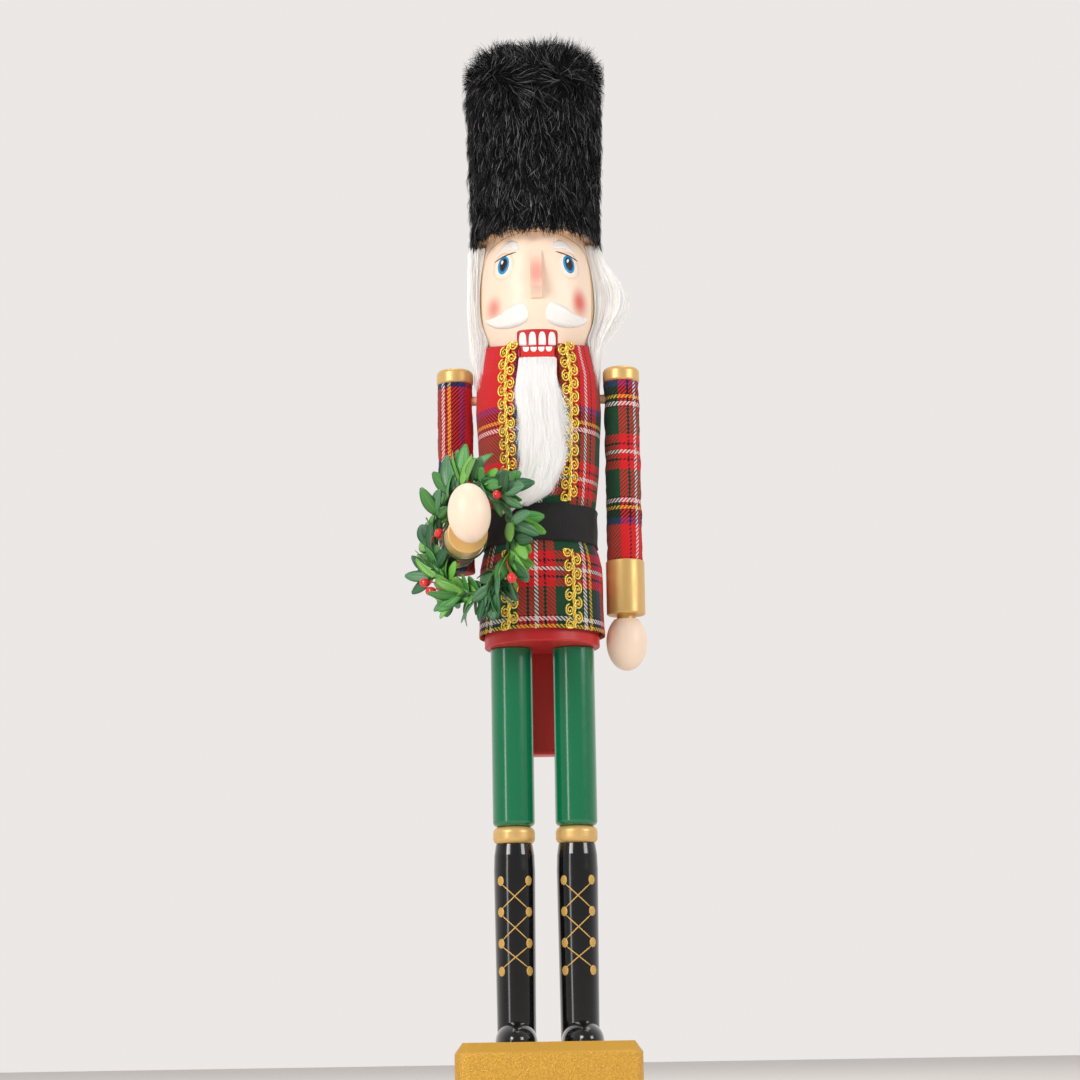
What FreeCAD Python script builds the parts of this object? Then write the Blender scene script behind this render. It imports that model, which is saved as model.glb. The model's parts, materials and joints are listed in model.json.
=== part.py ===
import FreeCAD, Part

import math
import os
import re

import Sketcher

# A standing wooden nutcracker figure, 0.91 m tall, in millimetres.
# The origin is the middle of the base's underside, +Z is up and the figure faces -Y.
# The figure's own left arm hangs straight at +X. The right arm is bent forward at -X
# and carries a wreath. The jaw, both shoulders and the wreath move.

DIMENSIONS = {
    "Fits": {
        "glue_gap": (0.05, "gap between pieces that are glued or pressed together"),
        "running_gap": (0.05, "radial gap of a pin or dowel that turns in its hole"),
        "cloth_gap": (0.3, "gap between a dowel and the cloth it passes through"),
        "cut_past": (5, "how far a cut runs past what it cuts"),
        "bore_past": (1, "how much deeper a blind hole is than its dowel"),
        "dowel_radius": (4, "beech dowels"),
        "dowel_depth": (15, "depth of a dowel in each piece"),
    },
    "Base": {
        "base_wide": (154, "X"),
        "base_deep": (128, "Y"),
        "base_top": (50, "height of the top face"),
        "base_corner": (12, "radius of the upright corners"),
        "base_bevel_in": (6.5, "bevel of the top edge, inwards"),
        "base_bevel_drop": (9, "bevel of the top edge, downwards"),
        "felt_thick": (1.5, "felt sheet under the block"),
        "felt_inset": (3, "felt edge to block edge"),
        "screw_radius": (2.5, "shank of the leg screws"),
        "screw_top": (82, "height of the screw's tip"),
        "screw_head_radius": (5, ""),
        "screw_head_tall": (4, ""),
        "counterbore_radius": (6.5, ""),
        "counterbore_deep": (10, "up from the block's underside"),
    },
    "Legs": {
        "leg_offset": (26.5, "leg axis from the middle"),
        "boot_foot_radius": (16.2, ""),
        "boot_calf_radius": (17.5, "widest part of the boot"),
        "boot_calf_height": (192, ""),
        "boot_neck_radius": (17, ""),
        "boot_neck_height": (205, ""),
        "boot_top_radius": (15.6, ""),
        "boot_top": (214, ""),
        "knee_radius": (17.75, "gold ring at the knee"),
        "knee_top": (229, ""),
        "knee_round": (5.5, ""),
        "trouser_radius": (17.9, ""),
        "trouser_round": (4.5, "rounding of the lower end"),
        "shoe_half_wide": (17.5, ""),
        "shoe_tall": (17, ""),
        "shoe_centre": (14, "centre of the domed toe, forward of the leg axis"),
        "shoe_half_long": (28, ""),
        "left_toe_out": (8, "degrees that the left shoe turns outwards"),
        "right_toe_out": (1, "degrees that the right shoe turns outwards"),
    },
    "Torso": {
        "hip_height": (381, "underside of the torso"),
        "hip_radius": (49.4, ""),
        "hem_height": (391, "lower edge of the jacket"),
        "hem_radius": (49.2, ""),
        "skirt_height": (450, ""),
        "skirt_radius": (47.4, ""),
        "waist_low": (467, "lower edge of the belt"),
        "waist_high": (499, "upper edge of the belt"),
        "waist_radius": (44.9, ""),
        "ribs_height": (531, ""),
        "ribs_radius": (48.6, ""),
        "chest_height": (587, ""),
        "chest_radius": (51.7, ""),
        "shoulder_height": (615, ""),
        "shoulder_radius": (50.7, ""),
        "neck_height": (637, "top of the torso, under the head"),
        "neck_radius": (45.6, ""),
        "neck_dowel_x": (28, ""),
        "neck_dowel_y": (14, ""),
    },
    "Clothes": {
        "cloth_thick": (1.4, "jacket and sleeves"),
        "hem_flare": (52.4, "outer radius of the jacket at its hem"),
        "skirt_flare": (51.2, "outer radius of the jacket just under the belt"),
        "collar_height": (645, "upper edge of the jacket"),
        "collar_inner": (43.9, ""),
        "collar_outer": (45.3, ""),
        "notch_half_wide": (17.6, "front notch of the jacket, round the jaw"),
        "belt_thick": (1.8, ""),
        "braid_wide_angle": (17.5, "degrees of the torso that a braid covers"),
        "braid_middle_angle": (32, "degrees from the front to a braid's middle"),
        "braid_thick": (1.8, ""),
        "braid_foot": (501, "lower end of the upper braids"),
        "braid_head": (460, "upper end of the lower braids"),
    },
    "Jaw": {
        "pivot_height": (621, "pivot pin, on the figure's axis"),
        "pivot_radius": (2.5, ""),
        "pivot_half_long": (46, ""),
        "lever_wide": (29, ""),
        "slot_half_wide": (15.5, "slot in the torso for the lever"),
        "slot_floor": (568, "floor of the passage through the chest"),
        "slot_cut_out": (70, "lever slot's cut, out to the front and the back"),
        "slot_back": (33, "front wall of the open channel down the back"),
        "tail_front": (36, "front face of the lever's tail"),
        "tail_back": (50, "back face of the lever's tail"),
        "tail_bottom": (294, ""),
        "handle_back": (60, "back of the flared handle"),
        "handle_top": (372, "where the flare begins"),
        "lip_height": (636.5, "upper edge of the jaw's front"),
        "lip_front": (45.6, ""),
        "chin_front": (51, ""),
        "chin_top": (612, ""),
        "chin_bottom": (601, ""),
        "lever_round": (3, "rounding of the handle's end"),
        "beard_top": (626, ""),
        "beard_bottom": (489, ""),
        "beard_back": (54.8, "beard's back face, clear of the chest"),
    },
    "Head": {
        "jowl_height": (648, ""),
        "jowl_radius": (43.2, ""),
        "head_foot_radius": (42.3, ""),
        "moustache_height": (660, ""),
        "moustache_radius": (47.3, ""),
        "cheek_height": (684, ""),
        "cheek_radius": (50.5, ""),
        "temple_height": (708, ""),
        "temple_radius": (49.2, ""),
        "brow_height": (728, ""),
        "brow_radius": (45.8, ""),
        "crown_height": (740, "top of the head, inside the hat's rim"),
        "crown_radius": (43.5, ""),
        "nose_half_wide": (5.1, ""),
        "nose_top": (721, ""),
        "nose_tip_height": (688.5, ""),
        "nose_bottom": (678, ""),
        "nose_root": (46, "flat seat of the nose in the head"),
        "nose_bridge": (48.8, ""),
        "nose_tip": (61.5, ""),
        "hair_bottom": (640, ""),
        "hair_top": (735.5, ""),
        "hair_inner": (51.2, ""),
        "hair_outer": (58.5, ""),
        "hair_angle": (226, "degrees round the back of the head"),
    },
    "Hat": {
        "hat_core_radius": (52, ""),
        "hat_core_top": (896, ""),
        "hat_rim_height": (736, "lower edge of the fur"),
        "hat_rim_radius": (58.5, ""),
        "hat_crown_radius": (61.5, ""),
        "hat_crown_height": (890, ""),
        "hat_top": (910, ""),
        "hat_round": (11, ""),
    },
    "Arms": {
        "arm_offset": (72.5, "arm axis from the middle"),
        "arm_radius": (13.9, ""),
        "arm_top": (614, "top of the sleeve"),
        "shoulder_axis": (600, "height of the shoulder dowels"),
        "shoulder_dowel_in": (17, "inner end of a shoulder dowel, from the middle"),
        "shoulder_dowel_out": (81, "outer end of a shoulder dowel"),
        "cap_radius": (15.9, ""),
        "cap_top": (627, ""),
        "cap_round": (4.5, ""),
        "cuff_radius": (16.6, ""),
        "cuff_long": (47, ""),
        "left_cuff_top": (456, ""),
        "wrist_radius": (8, "short neck between cuff and hand"),
        "wrist_long": (4, ""),
        "hand_radius": (17.5, "the hands are eggs"),
        "hand_half_tall": (24.5, ""),
        "left_hand_height": (385.5, ""),
        "wrist_dowel_long": (95, "dowel through hand, cuff and arm"),
    },
    "Bent arm": {
        "elbow_height": (466, ""),
        "upper_arm_bottom": (448, ""),
        "forearm_long": (88, "elbow to cuff"),
        "forearm_drop": (3.5, "degrees below level"),
        "forearm_inward": (5.7, "degrees towards the middle"),
        "hand_reach": (19.2, "front of the cuff to the middle of the hand"),
        "hand_lift": (14, "middle of the hand above the forearm's axis"),
        "hand_lean": (4, "degrees"),
        "elbow_dowel_long": (50, ""),
        "elbow_dowel_back": (8, "elbow point to the dowel's end in the upper arm"),
        "saddle_past": (20, "how far the saddle cut runs below the upper arm"),
        "wrist_pin_long": (45, "dowel through the cuff and the hand"),
        "wrist_pin_back": (26, "how much of it is in the cuff"),
    },
    "Wreath": {
        "wreath_place": (100, "elbow to wreath, along the forearm"),
        "wreath_inward": (6, "middle of the wreath, from the forearm's axis towards the body"),
        "wreath_drop": (1.7, "middle of the wreath, below the forearm's axis"),
        "tie_radius": (18, "wire loop round the cuff, which holds the wreath"),
        "tie_wire": (0.8, "its radius"),
        "wreath_turn": (45, "degrees that its plane turns from the figure's front"),
        "wreath_radius": (46, ""),
        "wire_radius": (1.5, ""),
        "foliage_radius": (6.8, ""),
        "berry_radius": (4, ""),
        "stem_radius": (0.7, ""),
        "stem_start": (2, "middle of the ring's wire to a berry's stem"),
        "stem_bore_long": (20, "hole for a berry's stem through the foliage"),
    },
}

# Each berry: angle round the wreath in degrees, distance from its middle,
# and how far it stands in front of the wreath's plane.
BERRIES = [(38, 50.5, 9), (163, 31.9, 9), (-35, 70.1, 11), (-138, 56.9, 8), (-148, 57.0, 9)]

ALIASES = {alias for group in DIMENSIONS.values() for alias in group}

doc = FreeCAD.newDocument("Nutcracker")
sheet = doc.addObject("Spreadsheet::Sheet", "Dims")
nodes = []


# ---------------------------------------------------------------- helpers

def fill_sheet():
    """Write every driving dimension to the spreadsheet, one row each."""
    row = 1
    for group, sizes in DIMENSIONS.items():
        sheet.set(f"A{row}", group)
        row += 1
        for alias, (number, note) in sizes.items():
            sheet.set(f"A{row}", alias)
            sheet.set(f"B{row}", str(number))
            sheet.setAlias(f"B{row}", alias)
            sheet.set(f"C{row}", note)
            row += 1
    doc.recompute()


def size(alias):
    """A driving dimension's number, read back from the sheet."""
    return float(sheet.get(alias))


def formula(text):
    """Point every alias in a formula at the sheet."""
    return re.sub(r"[A-Za-z_]+", lambda m: f"Dims.{m[0]}" if m[0] in ALIASES else m[0], text)


def bind(thing, path, text):
    """Bind one property to a formula of the sheet's dimensions."""
    thing.setExpression(path, formula(text))


def node(thing, label=None):
    """Mark an object as a sub-part that is written to its own file."""
    if label:
        thing.Label = label
    nodes.append(thing)
    return thing


def new_body(label):
    """Start an empty PartDesign body."""
    return doc.addObject("PartDesign::Body", label)


def add_sketch(body, role, offset="0"):
    """Attach a sketch to one of the body's own origin planes."""
    plane = next(item for item in body.Origin.OriginFeatures if item.Role == role)
    sketch = body.newObject("Sketcher::SketchObject", f"{body.Name}_sketch")
    sketch.AttachmentSupport = [(plane, "")]
    sketch.MapMode = "FlatFace"
    bind(sketch, "AttachmentOffset.Base.z", offset)
    return sketch


def dimension(sketch, constraint, text):
    """Add one driving constraint and bind its value."""
    index = sketch.addConstraint(constraint)
    bind(sketch, f"Constraints[{index}]", text)


def locate(sketch, edge, point, place, start):
    """Hold one point of an edge at a pair of formulas, measured from the sketch's origin."""
    for kind, text, number in zip(("DistanceX", "DistanceY"), place, start):
        dimension(sketch, Sketcher.Constraint(kind, -1, 1, edge, point, number), text)


def draw_circle(sketch, radius, place=("0", "0")):
    """Draw one circle."""
    middle = FreeCAD.Vector(1, 1, 0)
    edge = sketch.addGeometry(Part.Circle(middle, FreeCAD.Vector(0, 0, 1), 1), False)
    locate(sketch, edge, 3, place, middle)
    dimension(sketch, Sketcher.Constraint("Radius", edge, 1.0), radius)


def draw_outline(sketch, corners):
    """Draw one closed outline of straight edges through its corners."""
    count = len(corners)
    turns = [2 * math.pi * i / count for i in range(count)]
    starts = [FreeCAD.Vector(math.cos(turn), math.sin(turn), 0) for turn in turns]
    edges = []
    for i, start in enumerate(starts):
        edges.append(sketch.addGeometry(Part.LineSegment(start, starts[(i + 1) % count]), False))
    for i, edge in enumerate(edges):
        following = edges[(i + 1) % count]
        sketch.addConstraint(Sketcher.Constraint("Coincident", edge, 2, following, 1))
        locate(sketch, edge, 1, corners[i], starts[i])


def draw_box(sketch, low, high):
    """Draw one rectangle between two corners."""
    draw_outline(sketch, [low, (high[0], low[1]), high, (low[0], high[1])])


def add_pad(body, sketch, length, symmetric=False):
    """Pad a sketch along its normal, or half each way."""
    pad = body.newObject("PartDesign::Pad", f"{body.Name}_pad")
    pad.Profile = sketch
    pad.SideType = "Symmetric" if symmetric else "One side"
    bind(pad, "Length", length)
    return pad


def add_pocket(body, sketch, towards_normal=None):
    """Cut a sketch through everything, on one side of its plane or on both."""
    doc.recompute()
    before = body.Shape.Volume
    pocket = body.newObject("PartDesign::Pocket", f"{body.Name}_pocket")
    pocket.Profile = sketch
    pocket.Type = "ThroughAll"
    if towards_normal is None:
        pocket.SideType = "Symmetric"
    else:
        pocket.Reversed = towards_normal
    doc.recompute()
    if body.Shape.Volume > before - 1:
        raise RuntimeError(f"{pocket.Name} cuts nothing")
    return pocket


def revolve(body, sketch, angle=None):
    """Turn a sketch about the body's Z axis."""
    revolution = body.newObject("PartDesign::Revolution", f"{body.Name}_revolution")
    revolution.Profile = sketch
    revolution.ReferenceAxis = (sketch, ["V_Axis"])
    if angle:
        revolution.Midplane = True
        bind(revolution, "Angle", angle)
    return revolution


def turn(label, corners, offset=None, angle=None):
    """A turned piece: its outline holds pairs of radius and height."""
    body = new_body(label)
    sketch = add_sketch(body, "XZ_Plane")
    draw_outline(sketch, corners)
    revolve(body, sketch, angle)
    if offset:
        bind(body, "Placement.Base.x", offset)
    return body


def round_rims(body, radius, rims):
    """Round the circular edges that lie at the given radii and heights."""
    doc.recompute()
    tip = body.Tip
    names = []
    for index, edge in enumerate(tip.Shape.Edges, 1):
        if not isinstance(edge.Curve, Part.Circle):
            continue
        for rim_radius, rim_height in rims:
            same_radius = abs(edge.Curve.Radius - rim_radius) < 0.01
            if same_radius and abs(edge.Curve.Center.z - rim_height) < 0.01:
                names.append(f"Edge{index}")
    if len(names) < len(rims):
        raise RuntimeError(f"{body.Name} lacks a rim to round")
    add_fillet(body, radius, names)


def add_fillet(body, radius, names):
    """Round the named edges of the body's last feature."""
    before = body.Tip
    fillet = body.newObject("PartDesign::Fillet", f"{body.Name}_fillet")
    fillet.Base = (before, names)
    bind(fillet, "Radius", radius)


def edges_where(shape, test):
    """Names of the straight edges that pass a test of their two ends."""
    names = []
    for index, edge in enumerate(shape.Edges, 1):
        if isinstance(edge.Curve, Part.Line) and test(*(v.Point for v in edge.Vertexes)):
            names.append(f"Edge{index}")
    return names


def primitive(kind, name, **formulas):
    """A Part primitive with its sizes bound."""
    thing = doc.addObject(f"Part::{kind}", name)
    for path, text in formulas.items():
        bind(thing, path, text)
    return thing


def combine(kind, name, things):
    """A Part compound or fusion of several objects."""
    thing = doc.addObject(f"Part::{kind}", name)
    if kind == "Compound":
        thing.Links = things
    else:
        thing.Shapes = things
    return thing


def cut_away(label, base, tool):
    """A Part cut that becomes a sub-part."""
    cut = doc.addObject("Part::Cut", label)
    cut.Base = base
    cut.Tool = tool
    return node(cut)


def direct(thing, start, direction):
    """Stand an object's Z axis at a point, along a direction."""
    rotation = FreeCAD.Rotation(FreeCAD.Vector(0, 0, 1), direction)
    thing.Placement = FreeCAD.Placement(start, rotation)
    return thing


def dowel(label, radius, low, high, place=("0", "0")):
    """An upright dowel or pin."""
    return primitive("Cylinder", label, Radius=radius, Height=f"{high} - ({low})",
                     **{"Placement.Base.x": place[0], "Placement.Base.y": place[1],
                        "Placement.Base.z": low})


def cross_pin(label, radius, low, high, height):
    """A dowel or pin that lies along X."""
    pin = primitive("Cylinder", label, Radius=radius, Height=f"{high} - ({low})")
    pin.Placement.Rotation = FreeCAD.Rotation(FreeCAD.Vector(0, 1, 0), 90)
    bind(pin, "Placement.Base.x", low)
    bind(pin, "Placement.Base.z", height)
    return pin


# ---------------------------------------------------------------- base and legs

def make_base():
    """A bevelled block on felt, with counterbored holes for the two leg screws."""
    block = new_body("base_block")
    plan = add_sketch(block, "XY_Plane", "felt_thick")
    draw_box(plan, ("-base_wide / 2", "-base_deep / 2"), ("base_wide / 2", "base_deep / 2"))
    add_pad(block, plan, "base_top - felt_thick")
    doc.recompute()
    add_fillet(block, "base_corner", edges_where(block.Shape, lambda a, b: abs(a.z - b.z) > 1))
    doc.recompute()
    top = size("base_top")
    rim = [f"Edge{i}" for i, edge in enumerate(block.Shape.Edges, 1)
           if all(abs(v.Z - top) < 0.01 for v in edge.Vertexes)]
    before = block.Tip
    bevel = block.newObject("PartDesign::Chamfer", "base_bevel")
    bevel.Base = (before, rim)
    bevel.ChamferType = "Two distances"
    bind(bevel, "Size", "base_bevel_drop")
    bind(bevel, "Size2", "base_bevel_in")
    for radius, level in (("screw_radius + glue_gap", "base_top"),
                          ("counterbore_radius", "felt_thick + counterbore_deep")):
        holes = add_sketch(block, "XY_Plane", level)
        for side in ("-", ""):
            draw_circle(holes, radius, (f"{side}leg_offset", "0"))
        add_pocket(block, holes, towards_normal=False)
    node(block)

    felt = new_body("base_felt")
    plan = add_sketch(felt, "XY_Plane")
    draw_box(plan, ("felt_inset - base_wide / 2", "felt_inset - base_deep / 2"),
             ("base_wide / 2 - felt_inset", "base_deep / 2 - felt_inset"))
    add_pad(felt, plan, "felt_thick")
    doc.recompute()
    add_fillet(felt, "base_corner - felt_inset",
               edges_where(felt.Shape, lambda a, b: abs(a.z - b.z) > 1))
    node(felt)

    floor = "felt_thick + counterbore_deep"
    screws = [turn(f"leg_screw_{side}",
                   [("0", f"{floor} - screw_head_tall"),
                    ("screw_head_radius", f"{floor} - screw_head_tall"),
                    ("screw_head_radius", floor), ("screw_radius", floor),
                    ("screw_radius", "screw_top - 6"), ("0", "screw_top")],
                   offset)
              for side, offset in (("left", "leg_offset"), ("right", "-leg_offset"))]
    node(combine("Compound", "leg_screws", screws))


def make_leg(side, offset, toe_out):
    """Boot with its domed shoe, gold knee ring and trouser leg."""
    hole = "dowel_radius + glue_gap"
    pilot = "screw_radius + glue_gap"
    boot = turn(f"{side}_boot",
                [(pilot, "base_top"), ("boot_foot_radius", "base_top"),
                 ("boot_calf_radius", "boot_calf_height"),
                 ("boot_neck_radius", "boot_neck_height"), ("boot_top_radius", "boot_top"),
                 (hole, "boot_top"), (hole, "boot_top - dowel_depth - 1"),
                 ("0", "boot_top - dowel_depth - 1"), ("0", "screw_top + 1"),
                 (pilot, "screw_top + 1")], offset)
    node(boot)

    toe = primitive("Ellipsoid", f"{side}_toe", Radius1="shoe_tall", Radius2="shoe_half_wide",
                    Radius3="shoe_half_long", Angle1="0")
    turn_out = math.radians(toe_out)
    reach = size("shoe_centre")
    toe.Placement = FreeCAD.Placement(
        FreeCAD.Vector(offset_number(offset) + reach * math.sin(turn_out),
                       -reach * math.cos(turn_out), size("base_top")),
        FreeCAD.Rotation(FreeCAD.Vector(0, 0, 1), toe_out))
    ankle = turn(f"{side}_ankle", [("0", "base_top - 1"),
                                   ("boot_foot_radius + glue_gap", "base_top - 1"),
                                   ("boot_foot_radius + glue_gap", "base_top"),
                                   ("boot_calf_radius + glue_gap", "boot_calf_height"),
                                   ("0", "boot_calf_height")], offset)
    cut_away(f"{side}_shoe", toe, ankle)

    ring = turn(f"{side}_knee_ring",
                [(hole, "boot_top"), ("knee_radius", "boot_top"),
                 ("knee_radius", "knee_top"), (hole, "knee_top")], offset)
    rim = size("knee_radius")
    round_rims(ring, "knee_round", [(rim, size("boot_top")), (rim, size("knee_top"))])
    node(ring)

    trouser = turn(f"{side}_trouser_leg",
                   [(hole, "knee_top"), ("trouser_radius", "knee_top"),
                    ("trouser_radius", "hip_height"), (hole, "hip_height"),
                    (hole, "hip_height - dowel_depth - 1"),
                    ("0", "hip_height - dowel_depth - 1"),
                    ("0", "knee_top + dowel_depth + 1"), (hole, "knee_top + dowel_depth + 1")],
                   offset)
    rim = size("trouser_radius")
    round_rims(trouser, "trouser_round", [(rim, size("knee_top"))])
    round_rims(trouser, "1.2", [(rim, size("hip_height"))])
    node(trouser)


def offset_number(offset):
    """The signed number of a leg's or arm's offset."""
    number = size(offset.lstrip("-"))
    return -number if offset.startswith("-") else number


def make_legs():
    """Both legs and the dowels that join them to the torso."""
    make_leg("left", "leg_offset", size("left_toe_out"))
    make_leg("right", "-leg_offset", -size("right_toe_out"))
    for label, low, high in (("knee_dowels", "boot_top", "knee_top"),
                             ("hip_dowels", "hip_height", "hip_height")):
        pair = [dowel(f"{label}_{side}", "dowel_radius", f"{low} - dowel_depth",
                      f"{high} + dowel_depth", (offset, "0"))
                for side, offset in (("left", "leg_offset"), ("right", "-leg_offset"))]
        node(combine("Compound", label, pair))


# ---------------------------------------------------------------- torso and clothes

TORSO_STATIONS = ["hem", "skirt", "waist_low", "waist_high", "ribs", "chest", "shoulder", "neck"]


def torso_place(station):
    """Radius and height formulas of one station of the turned torso."""
    if station.startswith("waist"):
        return "waist_radius", station
    return f"{station}_radius", f"{station}_height"


def make_torso():
    """The turned body with its lever slot, pin hole and dowel holes."""
    torso = turn("body_core",
                 [("0", "hip_height"), ("hip_radius", "hip_height")]
                 + [torso_place(station) for station in TORSO_STATIONS]
                 + [("0", "neck_height")])
    round_rims(torso, "1.5", [(size("hip_radius"), size("hip_height"))])
    slot = add_sketch(torso, "YZ_Plane", "-slot_half_wide")
    low = "hip_height - cut_past"
    high = "neck_height + cut_past"
    draw_outline(slot, [("-slot_cut_out", "slot_floor"), ("slot_back", "slot_floor"),
                        ("slot_back", low), ("slot_cut_out", low),
                        ("slot_cut_out", high), ("-slot_cut_out", high)])
    doc.recompute()
    solid = torso.Shape.Volume
    passage = torso.newObject("PartDesign::Pocket", "lever_slot")
    passage.Profile = slot
    passage.Reversed = True
    bind(passage, "Length", "2 * slot_half_wide")
    doc.recompute()
    if torso.Shape.Volume > 0.9 * solid:
        raise RuntimeError("the lever slot cuts too little")

    across = add_sketch(torso, "YZ_Plane")
    draw_circle(across, "pivot_radius + glue_gap", ("0", "pivot_height"))
    draw_circle(across, "dowel_radius + glue_gap", ("0", "shoulder_axis"))
    add_pocket(torso, across)

    for level, places, upwards in (
            ("hip_height + dowel_depth + 1", [("leg_offset", "0"), ("-leg_offset", "0")], False),
            ("neck_height - dowel_depth - 1",
             [("neck_dowel_x", "neck_dowel_y"), ("-neck_dowel_x", "neck_dowel_y")], True)):
        holes = add_sketch(torso, "XY_Plane", level)
        for place in places:
            draw_circle(holes, "dowel_radius + glue_gap", place)
        add_pocket(torso, holes, towards_normal=upwards)
    node(torso)

    pair = [dowel(f"neck_dowel_{side}", "dowel_radius", "neck_height - dowel_depth",
                  "neck_height + dowel_depth", (f"{sign}neck_dowel_x", "neck_dowel_y"))
            for side, sign in (("left", ""), ("right", "-"))]
    node(combine("Compound", "neck_dowels", pair))
    node(cross_pin("jaw_pivot_pin", "pivot_radius", "-pivot_half_long", "pivot_half_long",
                   "pivot_height"))
    node(cross_pin("left_shoulder_dowel", "dowel_radius", "shoulder_dowel_in",
                   "shoulder_dowel_out", "shoulder_axis"))
    node(cross_pin("right_shoulder_dowel", "dowel_radius", "-shoulder_dowel_out",
                   "-shoulder_dowel_in", "shoulder_axis"))


def jacket_outer(station):
    """Radius and height formulas of the jacket's outer face at one station."""
    radius, height = torso_place(station)
    flared = {"hem": "hem_flare", "skirt": "skirt_flare"}
    return flared.get(station, f"{radius} + glue_gap + cloth_thick"), height


def make_jacket():
    """One cloth wrapped round the torso, open at the jaw and down the lever's channel."""
    inner = [(f"{radius} + glue_gap", height)
             for radius, height in map(torso_place, TORSO_STATIONS)]
    outer = [jacket_outer(station) for station in TORSO_STATIONS]
    jacket = turn("jacket_cloth",
                  inner + [("collar_inner", "collar_height"), ("collar_outer", "collar_height")]
                  + outer[::-1])
    notch = add_sketch(jacket, "XZ_Plane")
    draw_box(notch, ("-notch_half_wide", "slot_floor"), ("notch_half_wide", "collar_height + cut_past"))
    add_pocket(jacket, notch, towards_normal=True)
    channel = add_sketch(jacket, "XZ_Plane")
    draw_box(channel, ("-slot_half_wide", "hem_height - cut_past"),
             ("slot_half_wide", "collar_height + cut_past"))
    add_pocket(jacket, channel, towards_normal=False)
    across = add_sketch(jacket, "YZ_Plane")
    draw_circle(across, "dowel_radius + cloth_gap", ("0", "shoulder_axis"))
    add_pocket(jacket, across)
    node(jacket)


def make_belt():
    """An elastic belt that ends each side of the lever's channel."""
    under = "waist_radius + cloth_thick + 2 * glue_gap"
    belt = turn("belt", [(under, "waist_low"), (f"{under} + belt_thick", "waist_low"),
                         (f"{under} + belt_thick", "waist_high"), (under, "waist_high")])
    channel = add_sketch(belt, "XZ_Plane")
    draw_box(channel, ("-slot_half_wide", "waist_low - cut_past"),
             ("slot_half_wide", "waist_high + cut_past"))
    add_pocket(belt, channel, towards_normal=False)
    node(belt)


def on_slope(low, high, height):
    """Radius formula of a point at a height between two stations of the jacket."""
    (low_radius, low_height), (high_radius, high_height) = jacket_outer(low), jacket_outer(high)
    share = f"({height} - {low_height}) / ({high_height} - {low_height})"
    return f"{low_radius} + ({high_radius} - ({low_radius})) * {share}"


def make_braids():
    """Two braids above the belt and two below it, on the jacket's front."""
    upper = ([(on_slope("waist_high", "ribs", "braid_foot"), "braid_foot")]
             + [jacket_outer(station) for station in ("ribs", "chest", "shoulder", "neck")]
             + [("collar_outer", "collar_height")])
    lower = [jacket_outer("hem"), jacket_outer("skirt"),
             (on_slope("skirt", "waist_low", "braid_head"), "braid_head")]
    for part, faces in (("upper", upper), ("lower", lower)):
        near = [(f"{radius} + glue_gap", height) for radius, height in faces]
        far = [(f"{radius} + braid_thick", height) for radius, height in faces]
        for side, sign in (("left", ""), ("right", "-")):
            braid = turn(f"braid_{part}_{side}", near + far[::-1], angle="braid_wide_angle")
            bind(braid, "Placement.Rotation.Angle", f"-90 + {sign}braid_middle_angle")
            node(braid)


# ---------------------------------------------------------------- jaw

def make_jaw():
    """The lever: jaw block in front, arm over the pivot pin, tail down the back."""
    lever = new_body("jaw_lever")
    side_view = add_sketch(lever, "YZ_Plane")
    draw_outline(side_view, [
        ("-lip_front", "lip_height"), ("-chin_front", "chin_top"),
        ("-chin_front", "chin_bottom"), ("-chin_front + 11", "chin_bottom - 9"),
        ("tail_front - 8", "slot_floor + 16"), ("tail_front", "slot_floor + 2"),
        ("tail_front", "tail_bottom"), ("handle_back", "tail_bottom"),
        ("handle_back", "tail_bottom + 12"), ("tail_back", "handle_top"),
        ("tail_back", "pivot_height - 10"), ("0", "pivot_height + 12")])
    add_pad(lever, side_view, "lever_wide", symmetric=True)
    across = add_sketch(lever, "YZ_Plane")
    draw_circle(across, "pivot_radius + running_gap", ("0", "pivot_height"))
    add_pocket(lever, across)
    handle = size("tail_bottom") + 13
    names = edges_where(lever.Shape, lambda a, b: max(a.z, b.z) < handle and abs(a.x - b.x) > 1)
    add_fillet(lever, "lever_round", names)
    node(lever)

    beard = new_body("beard")
    side_view = add_sketch(beard, "YZ_Plane")
    root = "lip_front + (chin_front - lip_front) * (lip_height - beard_top) / (lip_height - chin_top)"
    draw_outline(side_view, [
        (f"-({root}) - glue_gap", "beard_top"), ("-chin_front - glue_gap", "chin_top"),
        ("-chin_front - glue_gap", "chin_bottom"), ("-beard_back", "chin_bottom - 11"),
        ("-beard_back", "beard_bottom"), ("-beard_back - 6", "beard_bottom"),
        ("-beard_back - 13", "beard_bottom + 50"), ("-beard_back - 11", "chin_bottom"),
        (f"-({root}) - 7", "beard_top")])
    add_pad(beard, side_view, "lever_wide", symmetric=True)
    node(beard)


# ---------------------------------------------------------------- head and hat

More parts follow.
